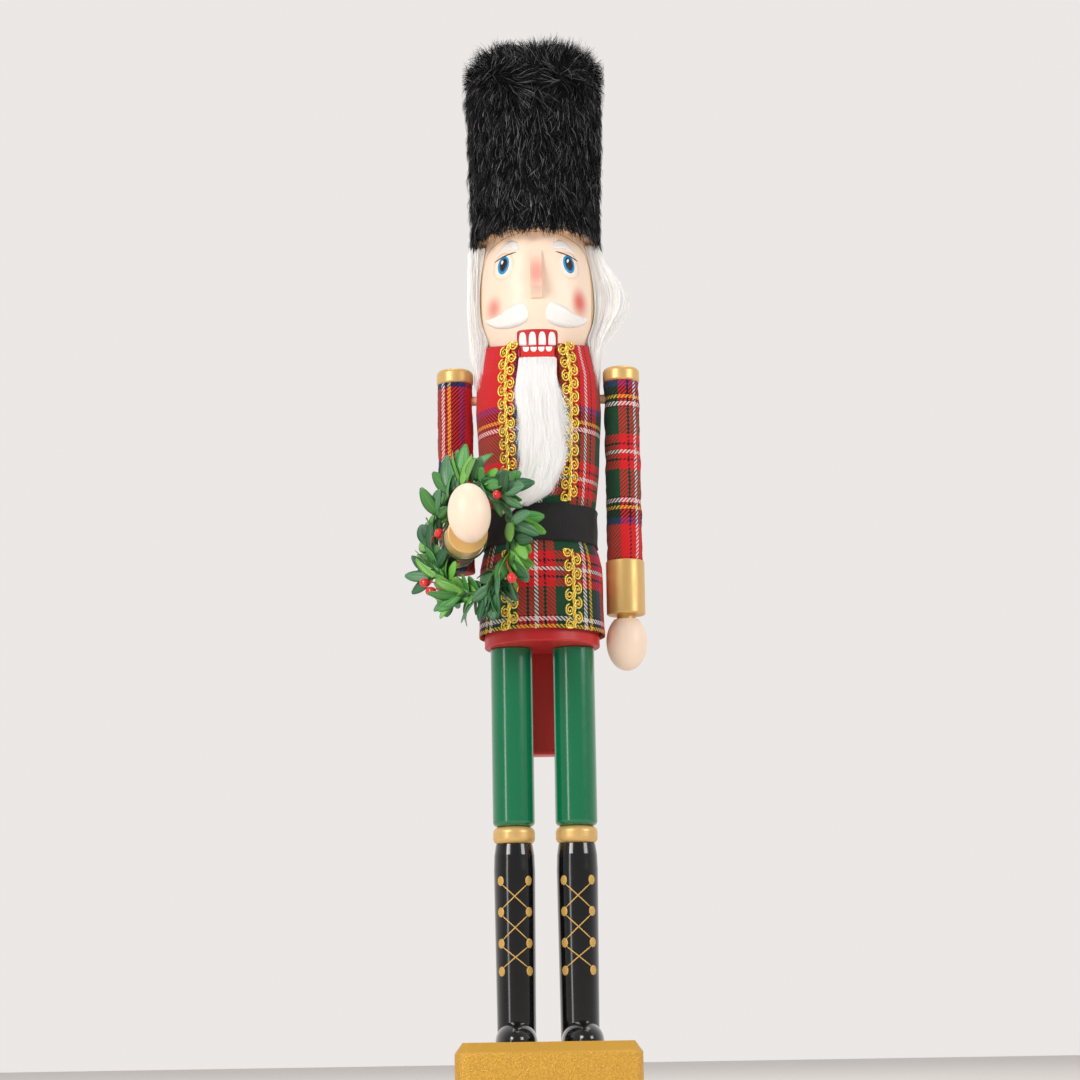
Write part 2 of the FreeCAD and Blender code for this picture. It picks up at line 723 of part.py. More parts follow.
def make_head():
    """The egg-shaped head with its glued nose."""
    head = new_body("head")
    stations = [("head_foot_radius", "neck_height")]
    stations += [(f"{part}_radius", f"{part}_height")
                 for part in ("jowl", "moustache", "cheek", "temple", "brow", "crown")]
    sections = []
    for radius, height in stations:
        section = add_sketch(head, "XY_Plane", height)
        draw_circle(section, radius)
        sections.append(section)
    loft = head.newObject("PartDesign::AdditiveLoft", "head_loft")
    loft.Profile = sections[0]
    loft.Sections = sections[1:]

    seat = add_sketch(head, "XY_Plane", "nose_top + glue_gap")
    draw_box(seat, ("-nose_half_wide - glue_gap", "-80"), ("nose_half_wide + glue_gap", "-nose_root"))
    notch = head.newObject("PartDesign::Pocket", "nose_seat")
    notch.Profile = seat
    bind(notch, "Length", "nose_top - nose_bottom + 2 * glue_gap")
    for level, radius, places, upwards in (
            ("neck_height + dowel_depth + 1", "dowel_radius + glue_gap",
             [("neck_dowel_x", "neck_dowel_y"), ("-neck_dowel_x", "neck_dowel_y")], False),
            ("crown_height - dowel_depth - 1", "dowel_radius + glue_gap", [("0", "0")], True)):
        holes = add_sketch(head, "XY_Plane", level)
        for place in places:
            draw_circle(holes, radius, place)
        add_pocket(head, holes, towards_normal=upwards)
    node(head)

    nose = new_body("nose")
    side_view = add_sketch(nose, "YZ_Plane")
    draw_outline(side_view, [
        ("-nose_root - glue_gap", "nose_top"), ("-nose_bridge", "nose_top"),
        ("-nose_tip", "nose_tip_height"), ("-nose_tip + 0.8", "nose_tip_height - 2"),
        ("-nose_root - 6", "nose_bottom"), ("-nose_root - glue_gap", "nose_bottom")])
    add_pad(nose, side_view, "2 * nose_half_wide", symmetric=True)
    doc.recompute()
    root = size("nose_root") + 1
    names = edges_where(nose.Shape, lambda a, b: max(a.y, b.y) < -root and abs(a.x - b.x) < 0.1)
    add_fillet(nose, "0.7", names)
    node(nose)


def make_hair():
    """The fur wig round the sides and the back of the head."""
    hair = turn("hair", [("hair_inner", "hair_bottom"), ("hair_outer", "hair_bottom"),
                         ("hair_outer", "hair_top"), ("hair_inner", "hair_top")],
                angle="hair_angle")
    bind(hair, "Placement.Rotation.Angle", "90")
    node(hair)


def make_hat():
    """A turned core with its dowel, inside a cap of fur."""
    hole = "dowel_radius + glue_gap"
    node(turn("hat_core",
              [(hole, "crown_height"), ("hat_core_radius", "crown_height"),
               ("hat_core_radius", "hat_core_top"), ("0", "hat_core_top"),
               ("0", "crown_height + dowel_depth + 1"), (hole, "crown_height + dowel_depth + 1")]))
    node(dowel("hat_dowel", "dowel_radius", "crown_height - dowel_depth",
               "crown_height + dowel_depth"))
    inner = "hat_core_radius + glue_gap"
    fur = turn("hat_fur",
               [(inner, "hat_rim_height"), ("hat_rim_radius", "hat_rim_height"),
                ("hat_crown_radius", "hat_crown_height"), ("hat_crown_radius - 8", "hat_top"),
                ("0", "hat_top"), ("0", "hat_core_top + glue_gap"),
                (inner, "hat_core_top + glue_gap")])
    round_rims(fur, "hat_round", [(size("hat_crown_radius"), size("hat_crown_height"))])
    node(fur)


# ---------------------------------------------------------------- arms

def make_cap(side, offset):
    """The gold knob on top of an arm."""
    cap = turn(f"{side}_shoulder_cap",
               [("0", "arm_top"), ("cap_radius", "arm_top"), ("cap_radius", "cap_top"),
                ("0", "cap_top")], offset)
    round_rims(cap, "cap_round", [(size("cap_radius"), size("cap_top"))])
    round_rims(cap, "2", [(size("cap_radius"), size("arm_top"))])
    node(cap)


def drill_shoulder(body, sign, radius):
    """Drill an arm or sleeve from the figure's side for its shoulder dowel."""
    depth = f"{sign}(shoulder_dowel_out + 0.5 - arm_offset)"
    hole = add_sketch(body, "YZ_Plane", depth)
    draw_circle(hole, radius, ("0", "shoulder_axis"))
    add_pocket(body, hole, towards_normal=sign == "-")


def sleeve_outline(low, high):
    """Outline of a cloth tube round an arm."""
    inner = "arm_radius + glue_gap"
    outer = "arm_radius + cloth_thick"
    return [(inner, low), (outer, low), (outer, high), (inner, high)]


def make_left_arm():
    """The straight arm: core, sleeve, cap, cuff, hand and the dowel through them."""
    hole = "dowel_radius + glue_gap"
    depth = "left_cuff_top + 32"
    core = turn("left_arm_core",
                [(hole, "left_cuff_top"), ("arm_radius", "left_cuff_top"),
                 ("arm_radius", "arm_top"), ("0", "arm_top"), ("0", depth), (hole, depth)],
                "arm_offset")
    drill_shoulder(core, "", "dowel_radius + running_gap")
    node(core)
    sleeve = turn("left_sleeve",
                  sleeve_outline("left_cuff_top + glue_gap", "arm_top - glue_gap"), "arm_offset")
    drill_shoulder(sleeve, "", "dowel_radius + cloth_gap")
    node(sleeve)
    make_cap("left", "arm_offset")

    low = "left_cuff_top - cuff_long"
    cuff = turn("left_cuff",
                [(hole, f"{low} - wrist_long"), ("wrist_radius", f"{low} - wrist_long"),
                 ("wrist_radius", low), ("cuff_radius", low), ("cuff_radius", "left_cuff_top"),
                 (hole, "left_cuff_top")], "arm_offset")
    rim = size("cuff_radius")
    top = size("left_cuff_top")
    round_rims(cuff, "1.5", [(rim, top), (rim, top - size("cuff_long"))])
    node(cuff)

    egg = primitive("Ellipsoid", "left_hand_egg", Radius1="hand_half_tall",
                    Radius2="hand_radius", Radius3="hand_radius",
                    **{"Placement.Base.x": "arm_offset", "Placement.Base.z": "left_hand_height"})
    seat = dowel("left_hand_seat", "hand_radius + cut_past", f"{low} - wrist_long - glue_gap",
                 "arm_top", ("arm_offset", "0"))
    bottom = f"{low} - wrist_long - dowel_depth"
    bore = dowel("left_hand_bore", hole, f"{bottom} - bore_past", "arm_top", ("arm_offset", "0"))
    cut_away("left_hand", egg, combine("MultiFuse", "left_hand_tools", [seat, bore]))
    node(dowel("left_wrist_dowel", "dowel_radius", bottom, f"{bottom} + wrist_dowel_long",
               ("arm_offset", "0")))


def forearm_frame():
    """Elbow point and forward direction of the bent forearm."""
    drop = math.radians(size("forearm_drop"))
    inward = math.radians(size("forearm_inward"))
    elbow = FreeCAD.Vector(-size("arm_offset"), 0, size("elbow_height"))
    forward = FreeCAD.Vector(math.sin(inward) * math.cos(drop),
                             -math.cos(inward) * math.cos(drop), -math.sin(drop))
    return elbow, forward


def make_upper_arm(elbow, forward):
    """The upper half of the bent arm, drilled for the shoulder and the elbow dowel."""
    start = elbow - forward * size("elbow_dowel_back")
    bore = direct(primitive("Cylinder", "elbow_bore", Radius="dowel_radius + glue_gap",
                            Height="elbow_dowel_long + 2 * cut_past"),
                  start - forward * size("bore_past"), forward)
    blank = turn("right_upper_arm_blank",
                 [("0", "upper_arm_bottom"), ("arm_radius", "upper_arm_bottom"),
                  ("arm_radius", "arm_top"), ("0", "arm_top")], "-arm_offset")
    drill_shoulder(blank, "-", "dowel_radius + running_gap")
    cut_away("right_upper_arm", blank, bore)

    wide_bore = direct(primitive("Cylinder", "elbow_sleeve_bore", Radius="dowel_radius + cloth_gap",
                                 Height="elbow_dowel_long + 2 * cut_past"), elbow, forward)
    cloth = turn("right_upper_sleeve_blank",
                 sleeve_outline("upper_arm_bottom", "arm_top - glue_gap"), "-arm_offset")
    drill_shoulder(cloth, "-", "dowel_radius + cloth_gap")
    cut_away("right_upper_sleeve", cloth, wide_bore)
    make_cap("right", "-arm_offset")
    node(direct(primitive("Cylinder", "right_elbow_dowel", Radius="dowel_radius",
                          Height="elbow_dowel_long"), start, forward))


def make_forearm(elbow, forward):
    """The forearm, saddled against the upper sleeve, with its cuff and hand."""
    hole = "dowel_radius + glue_gap"
    saddle = dowel("elbow_saddle", "arm_radius + cloth_thick + glue_gap",
                   "upper_arm_bottom - saddle_past", "arm_top", ("-arm_offset", "0"))
    blank = turn("right_forearm_blank",
                 [(hole, "0"), ("arm_radius", "0"), ("arm_radius", "forearm_long"),
                  (hole, "forearm_long")])
    cut_away("right_forearm", direct(blank, elbow, forward), saddle)
    cloth = turn("right_forearm_sleeve_blank",
                 sleeve_outline("0", "forearm_long - glue_gap"))
    cut_away("right_forearm_sleeve", direct(cloth, elbow, forward), saddle)

    front = "forearm_long + cuff_long"
    cuff = turn("right_cuff", [(hole, "forearm_long"), ("cuff_radius", "forearm_long"),
                               ("cuff_radius", front), (hole, front)])
    rim = size("cuff_radius")
    back = size("forearm_long")
    round_rims(cuff, "1.5", [(rim, back), (rim, back + size("cuff_long"))])
    node(direct(cuff, elbow, forward))

    wrist = elbow + forward * (back + size("cuff_long"))
    egg = primitive("Ellipsoid", "right_hand_egg", Radius1="hand_half_tall",
                    Radius2="hand_radius", Radius3="hand_radius")
    middle = wrist + forward * size("hand_reach") + FreeCAD.Vector(0, 0, size("hand_lift"))
    lean = FreeCAD.Rotation(FreeCAD.Vector(0, 1, 0), -size("hand_lean"))
    egg.Placement = FreeCAD.Placement(middle, lean)
    bore = direct(primitive("Cylinder", "right_hand_bore", Radius=hole,
                            Height="wrist_pin_long - wrist_pin_back + bore_past + 2 * cut_past"),
                  wrist - forward * 2 * size("cut_past"), forward)
    cut_away("right_hand", egg, bore)
    node(direct(primitive("Cylinder", "right_wrist_dowel", Radius="dowel_radius",
                          Height="wrist_pin_long"),
                wrist - forward * size("wrist_pin_back"), forward))


# ---------------------------------------------------------------- wreath

def make_wreath(elbow, forward):
    """A wire ring in foliage, tied to the cuff by a wire loop, with five berries on wires."""
    turned = math.radians(size("wreath_turn"))
    across = FreeCAD.Vector(math.cos(turned), -math.sin(turned), 0)
    up = FreeCAD.Vector(0, 0, 1)
    normal = up.cross(across)
    held = elbow + forward * size("wreath_place")
    middle = held + FreeCAD.Vector(size("wreath_inward"), 0, -size("wreath_drop"))
    tie_start = held + up * size("tie_radius")
    tie = middle + up * size("wreath_radius") - tie_start

    def ring(label, radius):
        """A ring of the wreath's size with the given thickness."""
        torus = primitive("Torus", label, Radius1="wreath_radius", Radius2=radius)
        return direct(torus, middle, normal)

    def tie_stem(label, radius):
        """The straight wire from the loop round the cuff up to the ring."""
        stem = primitive("Cylinder", label, Radius=radius, Height=f"{tie.Length}")
        return direct(stem, tie_start, tie)

    loop = primitive("Torus", "tie_loop", Radius1="tie_radius", Radius2="tie_wire")
    direct(loop, held, forward)
    wires = [ring("ring_wire", "wire_radius"), loop, tie_stem("tie_wire_stem", "tie_wire")]
    node(combine("MultiFuse", "wreath_ring", wires))
    picks = []
    bores = [ring("foliage_bore", "wire_radius + glue_gap"),
             tie_stem("tie_bore", "tie_wire + glue_gap")]
    for i, (angle, reach, lift) in enumerate(BERRIES):
        radial = across * math.cos(math.radians(angle)) + up * math.sin(math.radians(angle))
        root = middle + radial * size("wreath_radius")
        berry = middle + radial * reach - normal * lift
        along = (berry - root).normalize()
        start = root + along * size("stem_start")
        length = (berry - start).Length
        stem = primitive("Cylinder", f"stem_{i}", Radius="stem_radius", Height=f"{length}")
        fruit = primitive("Sphere", f"fruit_{i}", Radius="berry_radius")
        bore = primitive("Cylinder", f"stem_bore_{i}", Radius="stem_radius + glue_gap",
                         Height="stem_bore_long")
        direct(stem, start, along)
        direct(fruit, berry, along)
        direct(bore, root, along)
        picks.append(combine("MultiFuse", f"berry_pick_{i}", [stem, fruit]))
        bores.append(bore)
    cut_away("wreath_foliage", ring("foliage_tube", "foliage_radius"),
             combine("MultiFuse", "foliage_bores", bores))
    node(combine("Compound", "wreath_berries", picks))


# ---------------------------------------------------------------- build, check, write

def check_document():
    """Stop if any object failed, or if a sub-part has no sound solid."""
    doc.recompute()
    for thing in doc.Objects:
        if {"Invalid", "Error"} & set(thing.State):
            raise RuntimeError(f"{thing.Name} failed: {thing.State}")
    for piece in nodes:
        shape = piece.Shape
        if shape.isNull() or not shape.isValid() or not shape.Solids:
            raise RuntimeError(f"{piece.Label} has no sound solid")
        print(f"{piece.Label:24s} {len(shape.Solids)} solid(s) {shape.Volume / 1000:9.2f} cm3")


def write_parts():
    """Write each sub-part to its own file."""
    os.makedirs("parts", exist_ok=True)
    for piece in nodes:
        piece.Shape.exportStep(f"parts/{piece.Label}.step")
    print(len(nodes), "files")


fill_sheet()
make_base()
make_legs()
make_torso()
make_jacket()
make_belt()
make_braids()
make_jaw()
make_head()
make_hair()
make_hat()
make_left_arm()
elbow_point, forearm_forward = forearm_frame()
make_upper_arm(elbow_point, forearm_forward)
make_forearm(elbow_point, forearm_forward)
make_wreath(elbow_point, forearm_forward)
check_document()
write_parts()
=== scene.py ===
"""A nutcracker soldier with a fur hat, a tartan jacket and a wreath on one arm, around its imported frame.

Lengths are in millimetres until a mesh is made. The figure faces -Y, +X is its left side and +Z is up.
"""

import json
import math

import bmesh
import bpy
import numpy as np
from mathutils import Euler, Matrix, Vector
from mathutils.bvhtree import BVHTree


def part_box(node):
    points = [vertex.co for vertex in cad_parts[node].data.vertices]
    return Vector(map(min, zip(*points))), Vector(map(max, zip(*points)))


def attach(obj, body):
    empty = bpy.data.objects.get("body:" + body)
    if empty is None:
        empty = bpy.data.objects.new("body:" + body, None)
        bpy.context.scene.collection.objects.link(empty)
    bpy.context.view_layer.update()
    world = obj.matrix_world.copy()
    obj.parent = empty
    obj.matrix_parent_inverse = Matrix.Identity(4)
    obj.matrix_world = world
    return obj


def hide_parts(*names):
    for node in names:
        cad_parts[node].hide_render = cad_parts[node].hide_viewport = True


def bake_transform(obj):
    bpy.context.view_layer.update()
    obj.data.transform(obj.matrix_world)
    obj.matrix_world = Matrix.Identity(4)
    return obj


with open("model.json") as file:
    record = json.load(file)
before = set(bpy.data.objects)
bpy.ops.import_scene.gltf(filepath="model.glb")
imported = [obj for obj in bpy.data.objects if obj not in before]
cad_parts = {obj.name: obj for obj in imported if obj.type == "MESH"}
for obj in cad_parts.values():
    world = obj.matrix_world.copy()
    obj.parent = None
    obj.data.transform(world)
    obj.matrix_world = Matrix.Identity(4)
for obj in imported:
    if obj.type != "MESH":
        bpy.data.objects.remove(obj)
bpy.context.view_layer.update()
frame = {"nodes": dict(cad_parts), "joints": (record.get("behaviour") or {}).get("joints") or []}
scene = bpy.context.scene
MM = 0.001
UP = np.array((0.0, 0.0, 1.0))


def node_box(node):
    """Lowest and highest corner of a CAD node, in millimetres."""
    low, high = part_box(node)
    return np.array(low) / MM, np.array(high) / MM


def outward(turns):
    """Level unit vectors away from the figure's own axis, by their turn from the front in radians."""
    return np.stack((np.sin(turns), -np.cos(turns), np.zeros_like(turns)), axis=-1)


# ---------------------------------------------------------------- materials


def colour(red, green, blue):
    """A linear colour from its three display values, 0 to 255."""
    linear = tuple(((c / 255 + 0.055) / 1.055) ** 2.4 if c > 10 else c / 3295 for c in (red, green, blue))
    return linear + (1.0,)


def clamped(value):
    """The value, kept from 0 to 1."""
    return np.clip(value, 0, 1)


def shaded(rgb, share):
    """The same colour, lighter or darker."""
    return tuple(min(1.0, c * share) for c in rgb)


class Finish:
    """One material, built from nodes."""

    def __init__(self, name, roughness=0.5, **sockets):
        self.material = bpy.data.materials.new(name)
        self.material.use_nodes = True
        self.tree = self.material.node_tree
        self.shader = self.tree.nodes["Principled BSDF"]
        self.shader.inputs["Roughness"].default_value = roughness
        for socket, value in sockets.items():
            self.shader.inputs[socket.replace("_", " ").title().replace("Ior", "IOR")].default_value = value
        self.coordinates = None

    def node(self, kind, values=(), **settings):
        made = self.tree.nodes.new(kind)
        for setting, value in settings.items():
            setattr(made, setting, value)
        for socket, value in dict(values).items():
            self.feed(made.inputs[socket], value)
        return made

    def feed(self, socket, value):
        if isinstance(value, bpy.types.NodeSocket):
            self.tree.links.new(value, socket)
        else:
            socket.default_value = value

    def place(self):
        """Where the surface is, in millimetres along the figure's own axes."""
        if self.coordinates is None:
            at = self.node("ShaderNodeTexCoord").outputs["Object"]
            scaled = self.node("ShaderNodeVectorMath", {0: at, 1: (1 / MM,) * 3}, operation="MULTIPLY")
            self.coordinates = scaled.outputs[0]
        return self.coordinates

    def split(self, vector):
        return self.node("ShaderNodeSeparateXYZ", {0: vector}).outputs

    def attribute(self, name):
        return self.node("ShaderNodeAttribute", attribute_name=name).outputs["Vector"]

    def sum(self, operation, *values):
        return self.node("ShaderNodeMath", dict(enumerate(values)), operation=operation).outputs[0]

    def times(self, first, second):
        return self.sum("MULTIPLY", first, second)

    def plus(self, first, second):
        return self.sum("ADD", first, second)

    def ridges(self, length, width):
        """Rounded ridges side by side, each that wide, from 0 in the gaps to 1 on top."""
        return self.sum("ABSOLUTE", self.sum("SINE", self.times(length, math.pi / width)))

    def band(self, value, start, end):
        """Turns smoothly from 0 at start to 1 at end."""
        sockets = {0: value, 1: start, 2: end}
        return self.node("ShaderNodeMapRange", sockets, interpolation_type="SMOOTHSTEP").outputs[0]

    def noise(self, grain, detail=2.0, stretch=(1, 1, 1)):
        """Noise whose blotches are about grain millimetres across, drawn out by stretch."""
        scale = tuple(1 / (grain * s) for s in stretch)
        scaled = self.node("ShaderNodeVectorMath", {0: self.place(), 1: scale}, operation="MULTIPLY")
        sockets = {"Vector": scaled.outputs[0], "Scale": 1.0, "Detail": detail}
        texture = self.node("ShaderNodeTexNoise", sockets)
        return texture.outputs["Fac"]

    def mix(self, factor, first, second, blend="MIX"):
        made = self.node("ShaderNodeMix", data_type="RGBA", blend_type=blend)
        for index, value in ((0, factor), (6, first), (7, second)):
            self.feed(made.inputs[index], value)
        return made.outputs[2]

    def stripes(self, value, stops):
        """Plain bands of colour, each from its own position up to the next one's."""
        made = self.node("ShaderNodeValToRGB", {0: value})
        ramp = made.color_ramp
        ramp.interpolation = "CONSTANT"
        for index, (position, rgb) in enumerate(stops):
            if index < 2:
                stop = ramp.elements[index]
                stop.position = position
            else:
                stop = ramp.elements.new(position)
            stop.color = rgb
        return made.outputs[0]

    def paint(self, value):
        self.feed(self.shader.inputs["Base Color"], value)

    def roughen(self, value, low, high):
        """Roughness from low to high with the value, which is mostly between 0.3 and 0.7."""
        ranged = self.node("ShaderNodeMapRange", {0: value, 1: 0.3, 2: 0.7, 3: low, 4: high})
        self.feed(self.shader.inputs["Roughness"], ranged.outputs[0])

    def bump(self, height, depth, strength=1.0):
        """Raises the surface by height, 0 to 1, times depth in millimetres."""
        made = self.node("ShaderNodeBump", {"Height": height, "Distance": depth * MM, "Strength": strength})
        self.feed(self.shader.inputs["Normal"], made.outputs[0])


def painted_wood(name, rgb, roughness, mottle=0.07, sunk=0.05, **sockets):
    """Brushed paint over turned wood: faint mottling, long brush ripples and a little dust in the gloss."""
    made = Finish(name, roughness, **sockets)
    broad = made.noise(22, 3, (1, 1, 3))
    brush = made.noise(1.6, 3, (1, 1, 14))
    tone = made.mix(broad, shaded(rgb, 1 - mottle), shaded(rgb, 1 + mottle))
    made.paint(made.mix(made.times(brush, 0.25), tone, shaded(rgb, 0.86)))
    made.roughen(made.noise(9, 4), max(0.03, roughness * 0.8), roughness * 1.25)
    made.bump(made.plus(brush, made.times(broad, 2.0)), sunk)
    return made


def bare_wood(name, rgb, dark):
    made = Finish(name, 0.6, specular_ior_level=0.35)
    grain = made.noise(1.4, 4, (1, 1, 22))
    rings = made.noise(8, 2, (1, 1, 9))
    tone = made.mix(made.band(rings, 0.35, 0.65), rgb, shaded(rgb, 0.9))
    made.paint(made.mix(made.times(made.band(grain, 0.5, 0.75), 0.5), tone, dark))
    made.bump(grain, 0.08)
    return made


FACE_FRONT = (0.0, -12.0)
BLUSH_FADE = (1.25, 0.1)


def skin_finish(name, rgb, blush, cheeks):
    """Matt face paint with sprayed blushes on the front.

    Each blush is (x, z, half width, half height, strength) and fades out just past its half sizes.
    """
    made = painted_wood(name, rgb, 0.42, mottle=0.025, sunk=0.02, coat_weight=0.15, coat_roughness=0.35)
    tone = made.shader.inputs["Base Color"].links[0].from_socket
    x, y, z = made.split(made.place())
    front = made.band(y, *FACE_FRONT)
    for across, height, half_width, half_height, strength in cheeks:
        aside = made.sum("DIVIDE", made.sum("SUBTRACT", x, across), half_width)
        above = made.sum("DIVIDE", made.sum("SUBTRACT", z, height), half_height)
        far = made.sum("SQRT", made.plus(made.sum("POWER", aside, 2.0), made.sum("POWER", above, 2.0)))
        soft = made.times(made.times(made.band(far, *BLUSH_FADE), strength), front)
        tone = made.mix(soft, tone, blush)
    made.paint(tone)
    return made


BEVEL_HEIGHTS = (43.0, 40.0)


def gold_glitter(name, rgb):
    """Gold paint with a coarse sparkle on the faces. The bevel above them is smooth and darker, in brush
    streaks that are partly the paint's own and partly painted shade on the top.
    """
    made = Finish(name, 0.42, metallic=0.35, specular_ior_level=0.6)
    grain = made.noise(1.5, 3)
    flake = made.node("ShaderNodeTexVoronoi", {"Vector": made.place(), "Scale": 0.9}).outputs["Distance"]
    rough_part = made.band(made.split(made.place())[2], *BEVEL_HEIGHTS)
    grained = made.times(made.band(grain, 0.35, 0.7), rough_part)
    tone = made.mix(made.noise(30, 2), shaded(rgb, 0.94), shaded(rgb, 1.05))
    # the bevel's colour: darker brush streaks, partly the paint's own streaks and partly painted shade on the
    # base's top
    bevel_streaks_and_shade = made.mix(made.noise(2, 3, (0.1, 1, 1)), shaded(rgb, 0.74), shaded(rgb, 0.88))
    tone = made.mix(rough_part, bevel_streaks_and_shade, tone)
    made.paint(made.mix(made.times(grained, 0.55), tone, shaded(rgb, 0.55)))
    made.roughen(made.noise(2.0, 3), 0.3, 0.55)
    made.bump(made.times(made.plus(grain, flake), rough_part), 0.35)
    return made


# a half repeat of the tartan, from the white line it mirrors about: colour and width in millimetres
WHITE, RED, BLACK, GREEN = colour(228, 222, 218), colour(222, 30, 38), colour(24, 20, 26), colour(22, 74, 48)
YELLOW, BLUE = colour(232, 186, 50), colour(46, 44, 120)
SETT = (
    (WHITE, 1.2),
    (RED, 4.5),
    (BLACK, 2.0),
    (RED, 7.5),
    (GREEN, 24.0),
    (BLACK, 1.5),
    (WHITE, 3.6),
    (BLACK, 3.0),
    (YELLOW, 3.2),
    (BLACK, 7.4),
    (BLUE, 5.5),
    (RED, 32.5),
)
HALF_SETT = sum(width for _, width in SETT)
THREAD = 0.88
# how dark the painted shade makes a thread that sinks between the others
WEAVE_PAINTED_SHADE = (0.55, 0.55, 0.58, 1.0)
TWILL_REPEAT, TWILL_OVER = 4.0, 1.5


def tartan():
    """A twill woven in the same sett both ways. The weave attribute holds the place on the flat cloth."""
    made = Finish("tartan_twill", 0.85, sheen_weight=0.12, sheen_roughness=0.5, specular_ior_level=0.25)
    across, along, _ = made.split(made.attribute("weave"))
    stops, at = [], 0.0
    for rgb, width in SETT:
        stops.append((at / HALF_SETT, rgb))
        at += width
    threads, cells, crowns = [], [], []
    for length in (across, along):
        folded = made.sum("DIVIDE", made.sum("PINGPONG", length, HALF_SETT), HALF_SETT)
        threads.append(made.stripes(folded, stops))
        cells.append(made.sum("FLOOR", made.sum("DIVIDE", length, THREAD)))
        crowns.append(made.ridges(length, THREAD))
    step = made.sum("FLOORED_MODULO", made.plus(*cells), TWILL_REPEAT)
    on_top = made.sum("LESS_THAN", step, TWILL_OVER)
    woven = made.mix(on_top, threads[1], threads[0])
    # random flecks of the weave are painted darker: painted shade of threads sunk between the others
    sunk = made.mix(1.0, woven, WEAVE_PAINTED_SHADE, "MULTIPLY")
    made.paint(made.mix(made.times(made.noise(0.8, 2), 0.35), woven, sunk))
    weft_height = made.times(crowns[1], made.sum("SUBTRACT", 1.0, on_top))
    height = made.plus(made.times(crowns[0], on_top), weft_height)
    made.bump(height, 0.22, 0.9)
    return made


RIB, CORD_RIB = 1.3, 0.6


def belt_cloth():
    """Black grosgrain ribbon: fine ribs across it, painted lighter on their crests and darker in their gaps
    as painted highlight and shade, and a soft sheen, mottled by lighter blotches of painted sheen.
    """
    made = Finish("belt_grosgrain", 0.62, sheen_weight=0.12, sheen_roughness=0.4, specular_ior_level=0.35)
    across, along, _ = made.split(made.attribute("weave"))
    rib = made.ridges(across, RIB)
    cord = made.ridges(along, CORD_RIB)
    # the ribs' crests are painted lighter and their gaps darker: painted highlight and painted shade
    tone = made.mix(rib, colour(6, 6, 7), colour(22, 22, 24))
    # lighter blotches painted over the ribs: a painted, mottled sheen
    made.paint(made.mix(made.band(made.noise(5, 3), 0.4, 0.7), tone, colour(18, 18, 20)))
    made.bump(made.plus(rib, made.times(cord, 0.4)), 0.25)
    return made


def metal_thread():
    """Twisted gold braid cord: bright ridges and darker gaps along it, a painted highlight and painted shade
    in its colour.
    """
    made = Finish("braid_gold_thread", 0.3, metallic=0.75)
    twist = made.noise(0.7, 2)
    # the twist's ridges are painted bright and its gaps darker: painted highlight and painted shade
    made.paint(made.mix(made.band(twist, 0.35, 0.65), colour(222, 174, 44), colour(255, 236, 124)))
    made.roughen(made.noise(1.2, 2), 0.22, 0.42)
    made.bump(twist, 0.12)
    return made


def strand_finish(name, rgb, roughness, gloss=0.45, painted_glow=0.0):
    """One tone of fibre. The painted glow, an emission, stands in for the light that pale fibres pass on
    inside a loose lock.
    """
    made = Finish(name, roughness, specular_ior_level=gloss, emission_color=rgb, emission_strength=painted_glow)
    made.shader.inputs["Base Color"].default_value = rgb
    return made.material


def pile_backing(name, dark, light):
    """The woven backing under a pile, with its tufts as blotches."""
    made = Finish(name, 0.8, specular_ior_level=0.3)
    tuft = made.noise(1.6, 4, (1, 1, 3))
    made.paint(made.mix(tuft, dark, light))
    made.bump(tuft, 0.6)
    return made.material


SIDE_VEIN_SLANT, SIDE_VEINS = -0.35, 55.0


def leaf_finish(name, rgb, vein):
    """Glossy moulded leaf with a pale midrib, faint side veins and blotchy green.

    The local attribute holds how far across the leaf a point is, how far along, and the leaf's own tone.
    """
    made = Finish(name, 0.38, specular_ior_level=0.5, coat_weight=0.2, coat_roughness=0.3)
    across, along, tone = made.split(made.attribute("local"))
    wide = made.sum("ABSOLUTE", across)
    slanted = made.plus(along, made.times(wide, SIDE_VEIN_SLANT))
    side = made.sum("SINE", made.times(slanted, SIDE_VEINS))
    blotch = made.noise(6, 3)
    base = made.mix(tone, shaded(rgb, 0.72), shaded(rgb, 1.2))
    base = made.mix(made.times(blotch, 0.3), base, shaded(rgb, 0.6))
    made.paint(made.mix(made.times(made.band(wide, 0.12, 0.02), 0.25), base, vein))
    made.bump(made.plus(made.band(wide, 0.02, 0.2), made.times(side, 0.12)), 0.25)
    return made.material


# ---------------------------------------------------------------- meshes


def make_piece(name, points, faces, material, body=None, slot=None, stands_for=()):
    """A mesh piece from points in millimetres. Faces are one array of quads, or lists of corners."""
    mesh = bpy.data.meshes.new(name)
    points = np.asarray(points, float).reshape(-1, 3) * MM
    if isinstance(faces, np.ndarray):
        mesh.vertices.add(len(points))
        mesh.vertices.foreach_set("co", points.ravel())
        mesh.loops.add(faces.size)
        mesh.loops.foreach_set("vertex_index", faces.ravel().astype(np.int32))
        mesh.polygons.add(len(faces))
        mesh.polygons.foreach_set("loop_start", np.arange(0, faces.size, faces.shape[1], dtype=np.int32))
        mesh.update(calc_edges=True)
    else:
        mesh.from_pydata(points.tolist(), [], faces)
    mesh.polygons.foreach_set("use_smooth", [True] * len(mesh.polygons))
    for each in material if isinstance(material, (list, tuple)) else [material]:
        mesh.materials.append(getattr(each, "material", each))
    piece = bpy.data.objects.new(name, mesh)
    scene.collection.objects.link(piece)
    if stands_for:
        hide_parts(*stands_for)
    if body:
        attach(piece, body)
    return piece


